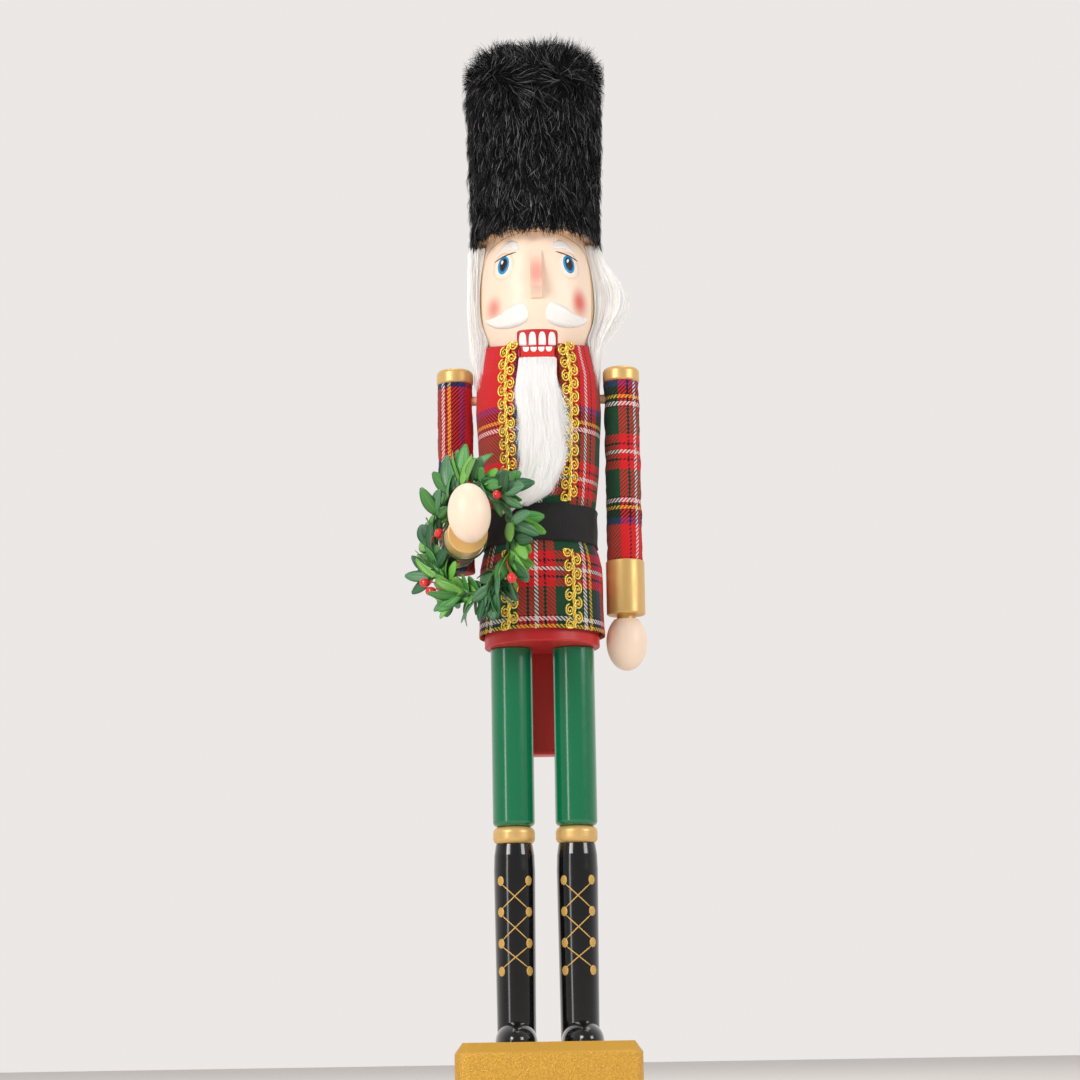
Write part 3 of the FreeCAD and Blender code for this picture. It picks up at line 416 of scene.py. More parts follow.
def point_vectors(piece, name, values):
    """Three values for each point, under a name that a material can read."""
    piece.data.attributes.new(name, "FLOAT_VECTOR", "POINT")
    piece.data.attributes[name].data.foreach_set("vector", np.asarray(values, np.float32).ravel())


def grid_faces(rows, columns, wrap=False):
    """Quads between the points of a grid, listed row by row. Wrap joins the last column to the first."""
    across = columns if wrap else columns - 1
    row, column = np.meshgrid(np.arange(rows - 1), np.arange(across), indexing="ij")
    following = (column + 1) % columns
    corners = (row * columns + column, row * columns + following)
    corners += ((row + 1) * columns + following, (row + 1) * columns + column)
    return np.stack(corners, axis=-1).reshape(-1, 4)


class Gathered:
    """Many small closed shapes that become one mesh."""

    def __init__(self):
        self.points, self.faces, self.extras, self.count = [], [], [], 0

    def add(self, points, faces, extra=None):
        points = np.asarray(points, float).reshape(-1, 3)
        self.points.append(points)
        self.faces += [[corner + self.count for corner in face] for face in faces]
        extra = np.zeros((len(points), 3)) if extra is None else np.asarray(extra, float)
        self.extras.append(extra.reshape(-1, 3))
        self.count += len(points)

    def add_rings(self, rings, extra=None):
        """A closed skin over rings of points, each end filled by one face."""
        rings = np.asarray(rings, float)
        count, sides = rings.shape[:2]
        faces = grid_faces(count, sides, wrap=True).tolist()
        faces += [list(range(sides))[::-1], list(range((count - 1) * sides, count * sides))]
        self.add(rings, faces, extra)

    def add_tube(self, path, radius, sides=7):
        self.add_rings(tube_rings(path, radius, sides))

    def piece(self, name, material, **settings):
        made = make_piece(name, np.concatenate(self.points), self.faces, material, **settings)
        extras = np.concatenate(self.extras)
        if extras.any():
            point_vectors(made, "local", extras)
        shell = bmesh.new()
        shell.from_mesh(made.data)
        bmesh.ops.recalc_face_normals(shell, faces=shell.faces)
        shell.to_mesh(made.data)
        shell.free()
        return made


def unit(vectors):
    vectors = np.asarray(vectors, float)
    return vectors / np.maximum(np.linalg.norm(vectors, axis=-1, keepdims=True), 1e-9)


def tube_rings(path, radius, sides):
    """Rings round a path. The radius is one number, or one for each point of the path."""
    path = np.asarray(path, float)
    along = unit(np.gradient(path, axis=0))
    side = unit(np.cross(along[0], (0.3, 0.2, 1.0)))
    rings = []
    turns = np.linspace(0, 2 * math.pi, sides, endpoint=False)
    for point, heading, reach in zip(path, along, np.broadcast_to(radius, len(path))):
        side = unit(side - heading * np.dot(side, heading))
        other = np.cross(heading, side)
        rings.append(point + reach * (np.outer(np.cos(turns), side) + np.outer(np.sin(turns), other)))
    return rings


def smooth_curve(points, count):
    """Points evenly through a Catmull-Rom curve over a few given points."""
    points = np.asarray(points, float)
    padded = np.vstack((2 * points[0] - points[1], points, 2 * points[-1] - points[-2]))
    places = np.linspace(0, len(points) - 1 - 1e-9, count)
    start = places.astype(int)
    t = (places - start)[:, None]
    a, b, c, d = (padded[start + k] for k in range(4))
    return 0.5 * (2 * b + (c - a) * t + (2 * a - 5 * b + 4 * c - d) * t**2 + (3 * b - a - 3 * c + d) * t**3)


def ripple(places, size, seed, waves=7):
    """Smooth values from about -1 to 1 at many places, with swells about size millimetres long."""
    pick = np.random.default_rng(seed)
    total = np.zeros(places.shape[:-1])
    for _ in range(waves):
        heading = unit(pick.normal(size=3))
        swell = 2 * math.pi / size * pick.uniform(0.6, 1.6)
        total += np.sin(places @ heading * swell + pick.uniform(0, 6.3))
    return total / math.sqrt(waves)


# ---------------------------------------------------------------- camera, floor and light

camera = bpy.data.objects.new("camera", bpy.data.cameras.new("camera"))
scene.collection.objects.link(camera)
LENS, SENSOR = 90, 36
CAMERA_PLACE, AIM = (0.0, -2.293, 0.050), Vector((-0.0005, 0.0, 0.476))
CAMERA_ROLL = math.radians(-0.93)
camera.data.lens, camera.data.sensor_width = LENS, SENSOR
camera.location = CAMERA_PLACE
camera.rotation_mode = "QUATERNION"
level = (AIM - camera.location).to_track_quat("-Z", "Y")
camera.rotation_quaternion = level @ Euler((0, 0, CAMERA_ROLL)).to_quaternion()
scene.camera = camera

FLOOR_HALF = 4000.0
floor = make_piece(
    "floor",
    [(x * FLOOR_HALF, y * FLOOR_HALF, 0) for x, y in ((-1, -1), (1, -1), (1, 1), (-1, 1))],
    [(0, 1, 2, 3)],
    painted_wood("floor_paint", colour(226, 222, 218), 0.7, mottle=0.01),
)

world = bpy.data.worlds.new("studio")
world.use_nodes = True
sky = world.node_tree
heading = sky.nodes.new("ShaderNodeTexCoord")
halves = sky.nodes.new("ShaderNodeSeparateXYZ")
fade = sky.nodes.new("ShaderNodeMapRange")
fade.interpolation_type = "SMOOTHSTEP"
# the sky is dimmer towards the viewer's side, from 0.38 of full strength to 0.87 behind the figure
for socket, value in ((1, -0.6), (2, 0.6), (3, 0.38), (4, 0.87)):
    fade.inputs[socket].default_value = value
sky.links.new(heading.outputs["Generated"], halves.inputs[0])
sky.links.new(halves.outputs["Y"], fade.inputs[0])
sky.links.new(fade.outputs[0], sky.nodes["Background"].inputs["Strength"])
sky.nodes["Background"].inputs["Color"].default_value = colour(250, 246, 244)
scene.world = world
scene.view_settings.view_transform = "Standard"


LIT_MIDDLE = Vector((0, 0, 0.5))


def soft_light(name, place, power, size, tint=(1.0, 1.0, 1.0), tall=None):
    """A square or upright area light, turned to the figure's middle. Places and sizes are in metres."""
    light = bpy.data.lights.new(name, "AREA")
    light.shape = "RECTANGLE"
    light.energy, light.size, light.size_y, light.color = power, size, tall or size, tint
    lamp = bpy.data.objects.new(name, light)
    scene.collection.objects.link(lamp)
    lamp.location = place
    lamp.rotation_mode = "QUATERNION"
    lamp.rotation_quaternion = (LIT_MIDDLE - lamp.location).to_track_quat("-Z", "Y")


soft_light("key", (-1.5, -2.0, 1.6), 34, 1.0, (1.0, 0.97, 0.93))
soft_light("strip", (-0.95, -1.05, 0.5), 3.6, 0.2, tall=1.3)
soft_light("side", (1.7, -1.2, 1.1), 16, 0.8)
soft_light("top", (0.1, 0.4, 2.4), 14, 1.4)

# ---------------------------------------------------------------- finishes on the frame's own parts

SKIN = colour(252, 226, 203)
BLUSH = colour(222, 100, 92)
GOLD = colour(224, 184, 116)
VARNISH = {"coat_weight": 0.9, "coat_roughness": 0.08}
head_low, head_high = node_box("head")
mouth_line = head_low[2]
RIGHT_CHEEK = (-37.3, mouth_line + 37, 7.5, 11.5, 0.7)
LEFT_CHEEK = (37.0, mouth_line + 41, 7.5, 13.5, 0.95)
NOSE_BLUSH = (0.0, mouth_line + 62, 11, 18, 0.62)
finishes = {
    "base_gold": gold_glitter("base_gold_glitter", colour(226, 172, 62)),
    "felt": painted_wood("felt", colour(36, 52, 40), 0.95, mottle=0.2, sunk=0.2),
    "steel": painted_wood("screw_steel", colour(150, 152, 156), 0.3, metallic=1.0, sunk=0.01),
    "boot_black": painted_wood("boot_gloss", colour(8, 8, 9), 0.2, 0.2, specular_ior_level=0.25, **VARNISH),
    "gold_paint": painted_wood("gold_paint", GOLD, 0.36, metallic=0.4, mottle=0.06),
    "trouser_green": painted_wood(
        "trouser_gloss", colour(0, 112, 70), 0.2, sunk=0.03, specular_ior_level=0.3, **VARNISH
    ),
    "bare_wood": bare_wood("bare_wood", colour(240, 200, 160), colour(206, 152, 104)),
    "body_red": painted_wood("body_red", colour(196, 34, 36), 0.4),
    "jaw_red": painted_wood("jaw_red", colour(214, 42, 36), 0.38),
    "skin": skin_finish("face_paint", SKIN, BLUSH, (RIGHT_CHEEK, LEFT_CHEEK)),
    "nose_skin": skin_finish("nose_paint", SKIN, BLUSH, (NOSE_BLUSH,)),
    "wire_green": painted_wood("wire_green", colour(42, 84, 48), 0.6),
}
for node in frame["nodes"].values():
    own_slot = node.data.materials[0].name
    if own_slot in finishes:
        node.data.materials[0] = finishes[own_slot].material


# ---------------------------------------------------------------- painted details


FAR_OUT = 300.0
SUNK = 0.25


class Skin:
    """The outside of one CAD node, so that painted details can lie on it."""

    def __init__(self, node, axis=(0.0, 0.0)):
        mesh = frame["nodes"][node].data
        self.tree = BVHTree.FromPolygons(
            [tuple(v.co / MM) for v in mesh.vertices], [tuple(p.vertices) for p in mesh.polygons]
        )
        self.axis = axis

    def round(self, across, height, lift):
        """The point on the skin at that height, that far across from the middle as seen from the front."""
        start = Vector((self.axis[0] + across, self.axis[1] - FAR_OUT, height))
        place, normal, _, _ = self.tree.ray_cast(start, Vector((0, 1, 0)))
        if place is None or normal.y > -0.3:
            # the skin turns away here, so the point is taken round the side instead of straight back
            middle = Vector((self.axis[0], self.axis[1], height))
            side, _, _, _ = self.tree.ray_cast(middle + Vector((FAR_OUT, 0, 0)), Vector((-1, 0, 0)))
            wide = (side or Vector((50, 0, 0))).x - self.axis[0]
            turn = math.asin(min(max(across / wide, -0.985), 0.985))
            out = Vector((math.sin(turn), -math.cos(turn), 0))
            place, normal, _, _ = self.tree.ray_cast(middle + out * FAR_OUT, -out)
            if place is None:
                place, normal, _, _ = self.tree.find_nearest(middle + out * wide)
        return np.array(place + normal * lift)


def dab(gathered, skin, outline, lift, rings=4):
    """A thin closed patch of paint over a rounded outline of (across, height) points."""
    outline = np.asarray(outline, float)
    middle = outline.mean(axis=0)
    shares = [k / rings for k in range(1, rings + 1)]
    layers = [[skin.round(*(middle + (p - middle) * share), lift) for p in outline] for share in shares]
    layers.append([skin.round(*p, -SUNK) for p in outline])
    count = len(outline)
    points = [skin.round(*middle, lift), *[p for layer in layers for p in layer], skin.round(*middle, -SUNK)]
    faces = [[0, 1 + k, 1 + (k + 1) % count] for k in range(count)]
    faces += (grid_faces(len(layers), count, wrap=True) + 1).tolist()
    last = len(points) - 1
    faces += [[last, last - count + (k + 1) % count, last - count + k] for k in range(count)]
    reach = [0.0, *np.repeat([*shares, 1.0], count), 0.0]
    gathered.add(points, faces, [(share, 0.0, 0.0) for share in reach])


def stroke(gathered, skin, upper, lower, lift, count=24):
    """A brush stroke between an upper and a lower edge, which meet or nearly meet at its ends."""
    upper, lower = smooth_curve(upper, count), smooth_curve(lower, count)
    rings = []
    for high, low in zip(upper, lower):
        across = [high + (low - high) * share for share in (0, 0.25, 0.5, 0.75, 1)]
        ring = [skin.round(*p, lift) for p in across]
        rings.append(ring + [skin.round(*low, -SUNK), skin.round(*high, -SUNK)])
    gathered.add_rings(rings)


def line(gathered, skin, points, width, lift, count=20):
    """A thin painted line, tapering at both ends."""
    path = smooth_curve(points, count)
    ahead = unit(np.gradient(path, axis=0))
    aside = np.stack((-ahead[:, 1], ahead[:, 0]), axis=1)
    taper = np.minimum(1, np.sin(np.linspace(0.12, math.pi - 0.12, count)) * 1.8)[:, None]
    stroke(gathered, skin, path + aside * width / 2 * taper, path - aside * width / 2 * taper, lift, count)


def oval(across, height, half_width, half_height, lean=0.0, count=28, square=2.0):
    """A closed outline. Square above 2 makes it boxier. Lean turns it, in degrees."""
    turns = np.linspace(0, 2 * math.pi, count, endpoint=False)
    c, s = np.cos(turns), np.sin(turns)
    x = half_width * np.sign(c) * np.abs(c) ** (2 / square)
    y = half_height * np.sign(s) * np.abs(s) ** (2 / square)
    cos, sin = math.cos(math.radians(lean)), math.sin(math.radians(lean))
    return [(across + px * cos - py * sin, height + px * sin + py * cos) for px, py in zip(x, y)]


def gloss_paint(name, rgb):
    return painted_wood(name, rgb, 0.3, mottle=0.04, sunk=0.015)


def faded_paint(name, rgb, ground):
    """Sprayed paint that fades out into the colour beneath towards the patch's edge."""
    made = Finish(name, 0.42, coat_weight=0.15, coat_roughness=0.35)
    share, _, _ = made.split(made.attribute("local"))
    made.paint(made.mix(made.band(share, 0.95, 0.5), ground, rgb))
    return made.material


head_skin = Skin("head")
EYE, EYE_LEAN = (28.2, mouth_line + 73.7), 10.0
# the face's lines, as (across, height above the mouth line) points of its left half
LID = ((36.0, 4.8), (27.0, 8.4), (17.0, 10.6))
BROW_TOP = ((34.5, 84.9), (29.0, 91.0), (22.0, 95.8), (15.5, 93.6))
BROW_LOW = ((34.5, 84.7), (31.0, 85.5), (25.5, 87.8), (14.5, 86.2))
WHISKER_TOP = ((7.3, 28.6), (9.5, 35.0), (13.5, 38.1), (23.2, 35.2), (32.0, 30.3), (39.0, 29.0), (45.0, 29.7))
WHISKER_LOW = ((7.3, 28.3), (9.2, 21.6), (19.2, 17.7), (31.2, 18.6), (40.0, 23.2), (45.0, 29.5))
FACE_EDGE = ((0, 103), (20, 101), (34, 96), (42, 90), (46.5, 75), (48.2, 53), (47.4, 28), (45, 13), (43, 3))


def even(outline, count):
    """The same closed outline with its points evenly spaced."""
    closed = np.vstack((outline, outline[:1]))
    along = np.concatenate(((0,), np.cumsum(np.linalg.norm(np.diff(closed, axis=0), axis=1))))
    at = np.linspace(0, along[-1], count, endpoint=False)
    return np.stack([np.interp(at, along, closed[:, k]) for k in (0, 1)], axis=1)


def above_mouth(points, side, base=mouth_line):
    """Face points, given by their height above the mouth line or another base, on one side of the face."""
    return [(side * x, base + z) for x, z in points]


eye_whites, irises, iris_rims, pupils, glints = (Gathered() for _ in range(5))
lids, brows, moustache, hairline = (Gathered() for _ in range(4))
for side in (-1, 1):
    across, height, lean = side * EYE[0], EYE[1], side * EYE_LEAN
    dab(eye_whites, head_skin, oval(across, height - 1.0, 8.6, 12.5, lean, square=2.3), 0.06, rings=7)
    dab(irises, head_skin, oval(across, height, 4.8, 8.3, lean), 0.20)
    dab(iris_rims, head_skin, oval(across + 0.1, height + 0.2, 3.4, 6.3, lean), 0.27)
    dab(pupils, head_skin, oval(across + 0.1, height + 0.4, 2.9, 5.4, lean), 0.34)
    dab(glints, head_skin, oval(across - 0.9, height + 3.0, 0.9, 1.9, -15, count=14), 0.42)
    line(lids, head_skin, above_mouth(LID, side, height), 1.0, 0.3)
    stroke(brows, head_skin, above_mouth(BROW_TOP, side), above_mouth(BROW_LOW, side), 0.16)
    whisker = above_mouth(WHISKER_TOP, side), above_mouth(WHISKER_LOW, side)
    stroke(moustache, head_skin, *whisker, 0.3, count=34)
    line(hairline, head_skin, above_mouth(FACE_EDGE, side), 0.95, 0.15, count=60)

white_paint = gloss_paint("white_paint", colour(246, 244, 240))
for gathered, name, material in (
    (eye_whites, "eye_whites", faded_paint("eye_white", colour(246, 240, 232), shaded(SKIN, 0.982))),
    (irises, "eye_irises", gloss_paint("iris_blue", colour(30, 150, 210))),
    (iris_rims, "eye_iris_rims", gloss_paint("iris_navy", colour(18, 86, 146))),
    (pupils, "eye_pupils", gloss_paint("pupil_black", colour(30, 22, 20))),
    (glints, "eye_glints", white_paint),
    (lids, "eye_lid_lines", gloss_paint("line_brown", colour(62, 44, 38))),
    (brows, "eyebrows", gloss_paint("brow_white", colour(236, 232, 230))),
    (moustache, "moustache", white_paint),
    (hairline, "face_outline", gloss_paint("outline_tan", colour(218, 174, 112))),
):
    gathered.piece(name, material, body="figure", slot="skin")

# the mouth: a red panel and upper teeth on the head, lower teeth on the jaw's front
PANEL_HALF, PANEL_LOW, PANEL_TOP = 17.5, 0.1, 15.2
TEETH = 4
# half width, lower and upper end above the mouth line, and pitch
UPPER_TOOTH = (3.15, 1.6, 13.2, 8.4)
# half width, lower end below the jaw's top, and pitch
LOWER_TOOTH = (2.75, 5.0, 6.6)
upper_panel, upper_teeth, lower_teeth = Gathered(), Gathered(), Gathered()
panel_middle = mouth_line + (PANEL_LOW + PANEL_TOP) / 2
panel = oval(0, panel_middle, PANEL_HALF, (PANEL_TOP - PANEL_LOW) / 2, square=9.0, count=200)
dab(upper_panel, head_skin, even(panel, 100), 0.18, rings=8)
jaw_high = node_box("jaw_lever")[1]
lip = jaw_high[2] - 0.5
jaw_skin = Skin("jaw_lever")
for tooth in range(TEETH):
    place = tooth - (TEETH - 1) / 2
    half, foot, crown, pitch = UPPER_TOOTH
    top = oval(place * pitch, mouth_line + foot + 2, half, crown - foot - 2, count=36, square=2.9)
    top = [(x, max(z, mouth_line + foot)) for x, z in top]
    dab(upper_teeth, head_skin, even(top, 40), 0.4)
    half, below, pitch = LOWER_TOOTH
    low = oval(place * pitch, lip, half, lip - (jaw_high[2] - below), count=32, square=2.4)
    low = [(x, min(z, lip)) for x, z in low]
    dab(lower_teeth, jaw_skin, even(low, 40), 0.4)
mouth_red = gloss_paint("mouth_red", colour(200, 34, 42))
tooth_white = gloss_paint("tooth_white", colour(250, 248, 246))
upper_panel.piece("mouth_panel", mouth_red, body="figure", slot="jaw_red")
upper_teeth.piece("upper_teeth", tooth_white, body="figure", slot="skin")
lower_teeth.piece("lower_teeth", tooth_white, body="jaw", slot="skin")

# the boots' painted lacing: rows of gold dots joined by crossing lines
LACE_ROWS = (183.0, 157.0, 131.0, 108.0)
DOT_ACROSS = 11.6
LEG_ACROSS = 26.5
lace_gold = painted_wood("lace_gold", colour(214, 172, 92), 0.4, metallic=0.3)
for side, name in ((-1, "right"), (1, "left")):
    boot = Skin(name + "_boot", (side * LEG_ACROSS, 0.0))
    lacing = Gathered()
    for row, height in enumerate(LACE_ROWS):
        for edge in (-1, 1):
            dab(lacing, boot, oval(edge * DOT_ACROSS, height, 2.5, 4.1, count=20), 0.22)
            if row:
                above = LACE_ROWS[row - 1]
                ends = (-edge * DOT_ACROSS, above - 2), (edge * DOT_ACROSS, height + 2)
                crossing = (ends[0], (0, (above + height) / 2), ends[1])
                line(lacing, boot, crossing, 0.9, 0.15 + 0.05 * (edge > 0), count=16)
    lacing.piece(name + "_boot_lacing", lace_gold, body="figure", slot="gold_paint")


# ---------------------------------------------------------------- cloth


def cloth_tube(name, ring, rows, weave, material, thickness, wrap=True, hole=None, **settings):
    """A sheet wrapped round something.

    ring(height) gives its angles and its points at that height, and weave(angle, height) the same point's
    place on the flat cloth. hole(height, column) marks the faces that are left out.
    """
    points, lengths = [], []
    for height in rows:
        angles, places = ring(height)
        points.append(places)
        lengths.append([weave(angle, height) for angle in angles])
    columns = len(points[0])
    faces = grid_faces(len(rows), columns, wrap)
    if hole is not None:
        row, column = faces[:, 0] // columns, faces[:, 0] % columns
        faces = faces[~hole(np.asarray(rows)[row], column)]
    piece = make_piece(name, np.concatenate(points), faces[:, ::-1].copy(), material, **settings)
    point_vectors(piece, "weave", [(a, b, 0.0) for line_of in lengths for a, b in line_of])
    solid = piece.modifiers.new("cloth", "SOLIDIFY")
    solid.thickness = thickness * MM
    solid.offset = -1
    return piece


CLOTH = 1.1
jacket_low, jacket_high = node_box("jacket_cloth")
belt_low, belt_high = node_box("belt")
belt_middle = (belt_low[2] + belt_high[2]) / 2
beard_low, beard_high = node_box("beard")
lever_half = jaw_high[0] + 1.1
JACKET_HEIGHTS = (391, 450, 462, 467, 499, 506, 531, 587, 615, 637, 645)
JACKET_RADII = (52.4, 51.2, 48.6, 46.4, 46.4, 47.4, 50.1, 53.1, 52.2, 47.1, 45.6)
WAIST_LOW, WAIST_HIGH = 467, 499
COLLAR_FROM, COLLAR_RISE = 600, 45
NOTCH_HALF, NOTCH_FLOOR = 17.6, 568.0
FRONT_COLUMNS, SIDE_COLUMNS = 12, 64
MEAN_RADIUS = 50.0
COLLAR_DIP = 5.5
# where on the chest and on the skirt the sett's white lines cross
CHEST_PIVOT = (43.0, 521.6)
SKIRT_PIVOT = (-4.0, 442.0)


def jacket_radius(height):
    return np.interp(height, JACKET_HEIGHTS, JACKET_RADII)


def jacket_ring(height):
    """One level of the jacket: open at the back for the lever, gathered cloth that is loose off the waist."""
    radius = jacket_radius(height)
    notch = math.asin(NOTCH_HALF / radius)
    back = math.pi - math.asin((lever_half + 0.2) / radius)
    side = np.linspace(notch, back, SIDE_COLUMNS)
    angles = np.concatenate((-side[::-1], np.linspace(-notch, notch, FRONT_COLUMNS + 2)[1:-1], side))
    places = outward(angles)
    at = places * MEAN_RADIUS + UP * height
    loose = clamped((WAIST_LOW - height) / 30) * 0.45 + clamped((height - WAIST_HIGH) / 30) * 0.3
    gather = 0.5 + 0.5 * np.sin(angles * 26 + ripple(at, 60, 3) * 3)
    swell = loose * (0.4 + 0.5 * ripple(at, 34, 5) + 0.25 * gather)
    hem = 0.5 * np.exp(-(((height - jacket_low[2] - 2) / 2.0) ** 2))
    out = radius + np.clip(swell, -0.1, 1.0) + hem
    dip = COLLAR_DIP * clamped((height - COLLAR_FROM) / COLLAR_RISE) ** 2
    dip = dip * clamped((np.cos(angles) - 0.2) / 0.6)
    return angles, places * out[:, None] + UP * (height - dip)[:, None]


def jacket_weave(angle, height):
    pivot = CHEST_PIVOT if height > belt_middle else SKIRT_PIVOT
    return angle * MEAN_RADIUS - pivot[0], height - pivot[1]


def front_notch(height, column):
    """The faces left out above the notch's floor, where the beard hangs and the jaw moves."""
    in_front = (column >= SIDE_COLUMNS - 1) & (column < SIDE_COLUMNS + FRONT_COLUMNS)
    return (height >= NOTCH_FLOOR) & in_front


cloth = tartan()
# two of the rows are close together under the belt, where the skirt's tartan changes to the chest's
jacket_rows = (*np.linspace(jacket_low[2], jacket_high[2], 88), 482.9, 483.1, NOTCH_FLOOR)
jacket = cloth_tube(
    "jacket",
    jacket_ring,
    np.unique(jacket_rows),
    jacket_weave,
    cloth,
    CLOTH,
    wrap=False,
    hole=front_notch,
    body="figure",
    slot="tartan",
    stands_for=("jacket_cloth",),
)


BELT_RADIUS, BELT_COVER = 47.9, 0.9


def belt_ring(height):
    """One level of the ribbon, whose edges curl out a little. It stops at both sides of the lever."""
    off = (height - belt_middle) / ((belt_high[2] - belt_low[2]) / 2)
    end = math.pi - math.asin((lever_half + 0.3) / 47)
    angles = np.linspace(-end, end, 120)
    places = outward(angles)
    at = places * MEAN_RADIUS + UP * height
    out = BELT_RADIUS + 0.35 * ripple(at, 30, 11) + 0.8 * abs(off) ** 6
    wander = 0.7 * ripple(places * MEAN_RADIUS, 60, 12)
    return angles, places * out[:, None] + UP * (height + wander)[:, None]


belt = cloth_tube(
    "belt_ribbon",
    belt_ring,
    np.linspace(belt_low[2], belt_high[2], 18),
    lambda angle, height: (angle * MEAN_RADIUS, height),
    belt_cloth(),
    1.2,
    wrap=False,
    body="figure",
    slot="belt_black",
    stands_for=("belt",),
)


SLEEVE = 15.3
CLOSED_END = np.array((0.3, 0.5, 0.7, 0.9, 1.1, 1.3))


def sleeve(part, start, heading, length, pivot, body, seed, closed=False):
    """A cloth tube down a straight arm from its start point. The pivot shifts its tartan round and along."""
    start, heading = np.array(start, float), unit(heading)
    facing = UP if abs(heading[1]) > 0.7 else np.array((0.0, -1.0, 0.0))
    front = unit(facing - heading * np.dot(facing, heading))
    aside = np.cross(heading, front)
    if aside[0] < 0:
        aside = -aside
    angles = np.linspace(-math.pi, math.pi, 48, endpoint=False)

    def ring(along):
        places = np.outer(np.sin(angles), aside) + np.outer(np.cos(angles), front)
        at = places * SLEEVE + start + heading * along
        out = SLEEVE - 0.1 + 0.3 * ripple(at, 22, seed) + 0.25 * ripple(at, 9, seed + 1)
        out *= np.interp(along, (length, length + 0.5, length + 0.9, length + 1.3), (1, 0.97, 0.75, 0.04))
        return angles, places * out[:, None] + start + heading * along

    rows = np.linspace(0, length, int(length / 2.4))
    if closed:
        rows = np.append(rows, length + CLOSED_END)
    made = cloth_tube(
        part + "_cloth",
        ring,
        rows,
        lambda angle, along: (angle * SLEEVE - pivot[0], along - pivot[1]),
        cloth,
        CLOTH,
        body=body,
        slot="tartan",
        stands_for=(part,),
    )


left_low, left_high = node_box("left_sleeve")
left_x = (left_low[0] + left_high[0]) / 2
upper_low, upper_high = node_box("right_upper_sleeve")
wreath_swing = next(joint for joint in frame["joints"] if joint["name"] == "wreath_swing")
FORWARD = unit(np.array(wreath_swing["axis"]))
FOREARM_FROM, FOREARM, WREATH_PLACE = 10, 88.0, 100.0
ELBOW = np.array(wreath_swing["pos_m"]) / MM - FORWARD * WREATH_PLACE
LEFT_PIVOT = (12.0, left_high[2] - 550)
UPPER_PIVOT = (-54.0, 36.4 - HALF_SETT)
FOREARM_PIVOT = (20.0, 60.0)
left_top, left_length = (left_x, 0, left_high[2]), left_high[2] - left_low[2]
upper_top, upper_length = (-left_x, 0, upper_high[2]), upper_high[2] - upper_low[2]
cuff_start, cuff_length = ELBOW + FORWARD * FOREARM_FROM, FOREARM - FOREARM_FROM
sleeve("left_sleeve", left_top, -UP, left_length, LEFT_PIVOT, "left_arm", 21)
sleeve("right_upper_sleeve", upper_top, -UP, upper_length, UPPER_PIVOT, "right_arm", 31, closed=True)
sleeve("right_forearm_sleeve", cuff_start, FORWARD, cuff_length, FOREARM_PIVOT, "right_arm", 41)

# ---------------------------------------------------------------- braid

BRAID_AT, LOOP_STEP = 25.6, 5.8
LOOP_CORD, SPINE_CORD = 0.82, 0.95
SPINE_PITCH = 11.6
BRAID_TOP = 641.6


def braid_place(height, across, lift, side):
    """A point on a braid strip, across its middle line, standing lift off the jacket."""
    radius = jacket_radius(height) + 0.9
    angle = side * (BRAID_AT / MEAN_RADIUS + 0.02) + across / radius
    return (radius + lift) * outward(angle) + UP * height


def braid(name, low, high, side, stands_for):
    """Gimp braid: spiral loops of gold cord at both sides of a twisted spine."""
    gathered = Gathered()
    count = int((high - low) / LOOP_STEP)
    for loop in range(count):
        edge = 1 if loop % 2 else -1
        middle = low + (loop + 0.5) * (high - low) / count
        turns = np.linspace(0, 1.75, 30)
        reach = 3.9 - 1.9 * turns
        around = math.pi / 2 - edge * 2 * math.pi * turns
        across = edge * 4.1 + reach * np.cos(around) * 1.06
        height = np.clip(middle + reach * np.sin(around) * 1.35, low + 0.6, high - 0.6)
        lift = 0.75 + 0.25 * np.sin(turns * 9)
        path = [braid_place(h, a, up, side) for h, a, up in zip(height, across, lift)]
        gathered.add_tube(path, LOOP_CORD, 6)
    heights = np.linspace(low + 0.7, high - 0.7, int((high - low) * 1.2))
    for phase in (0, math.pi):
        twist = heights * 2 * math.pi / SPINE_PITCH + phase
        path = [
            braid_place(h, w, lift, side)
            for h, w, lift in zip(heights, np.sin(twist), 1.3 + 0.4 * np.cos(twist))
        ]
        gathered.add_tube(path, SPINE_CORD, 7)
    return gathered.piece(name, gold_thread, body="figure", slot="gold_braid", stands_for=stands_for)


gold_thread = metal_thread()
for side, hand in ((1, "left"), (-1, "right")):
    for part in ("upper", "lower"):
        low, high = node_box(f"braid_{part}_{hand}")
        top = min(high[2], BRAID_TOP)
        braid(f"braid_{part}_{hand}_cord", low[2], top, side, (f"braid_{part}_{hand}",))


# ---------------------------------------------------------------- fur and hair


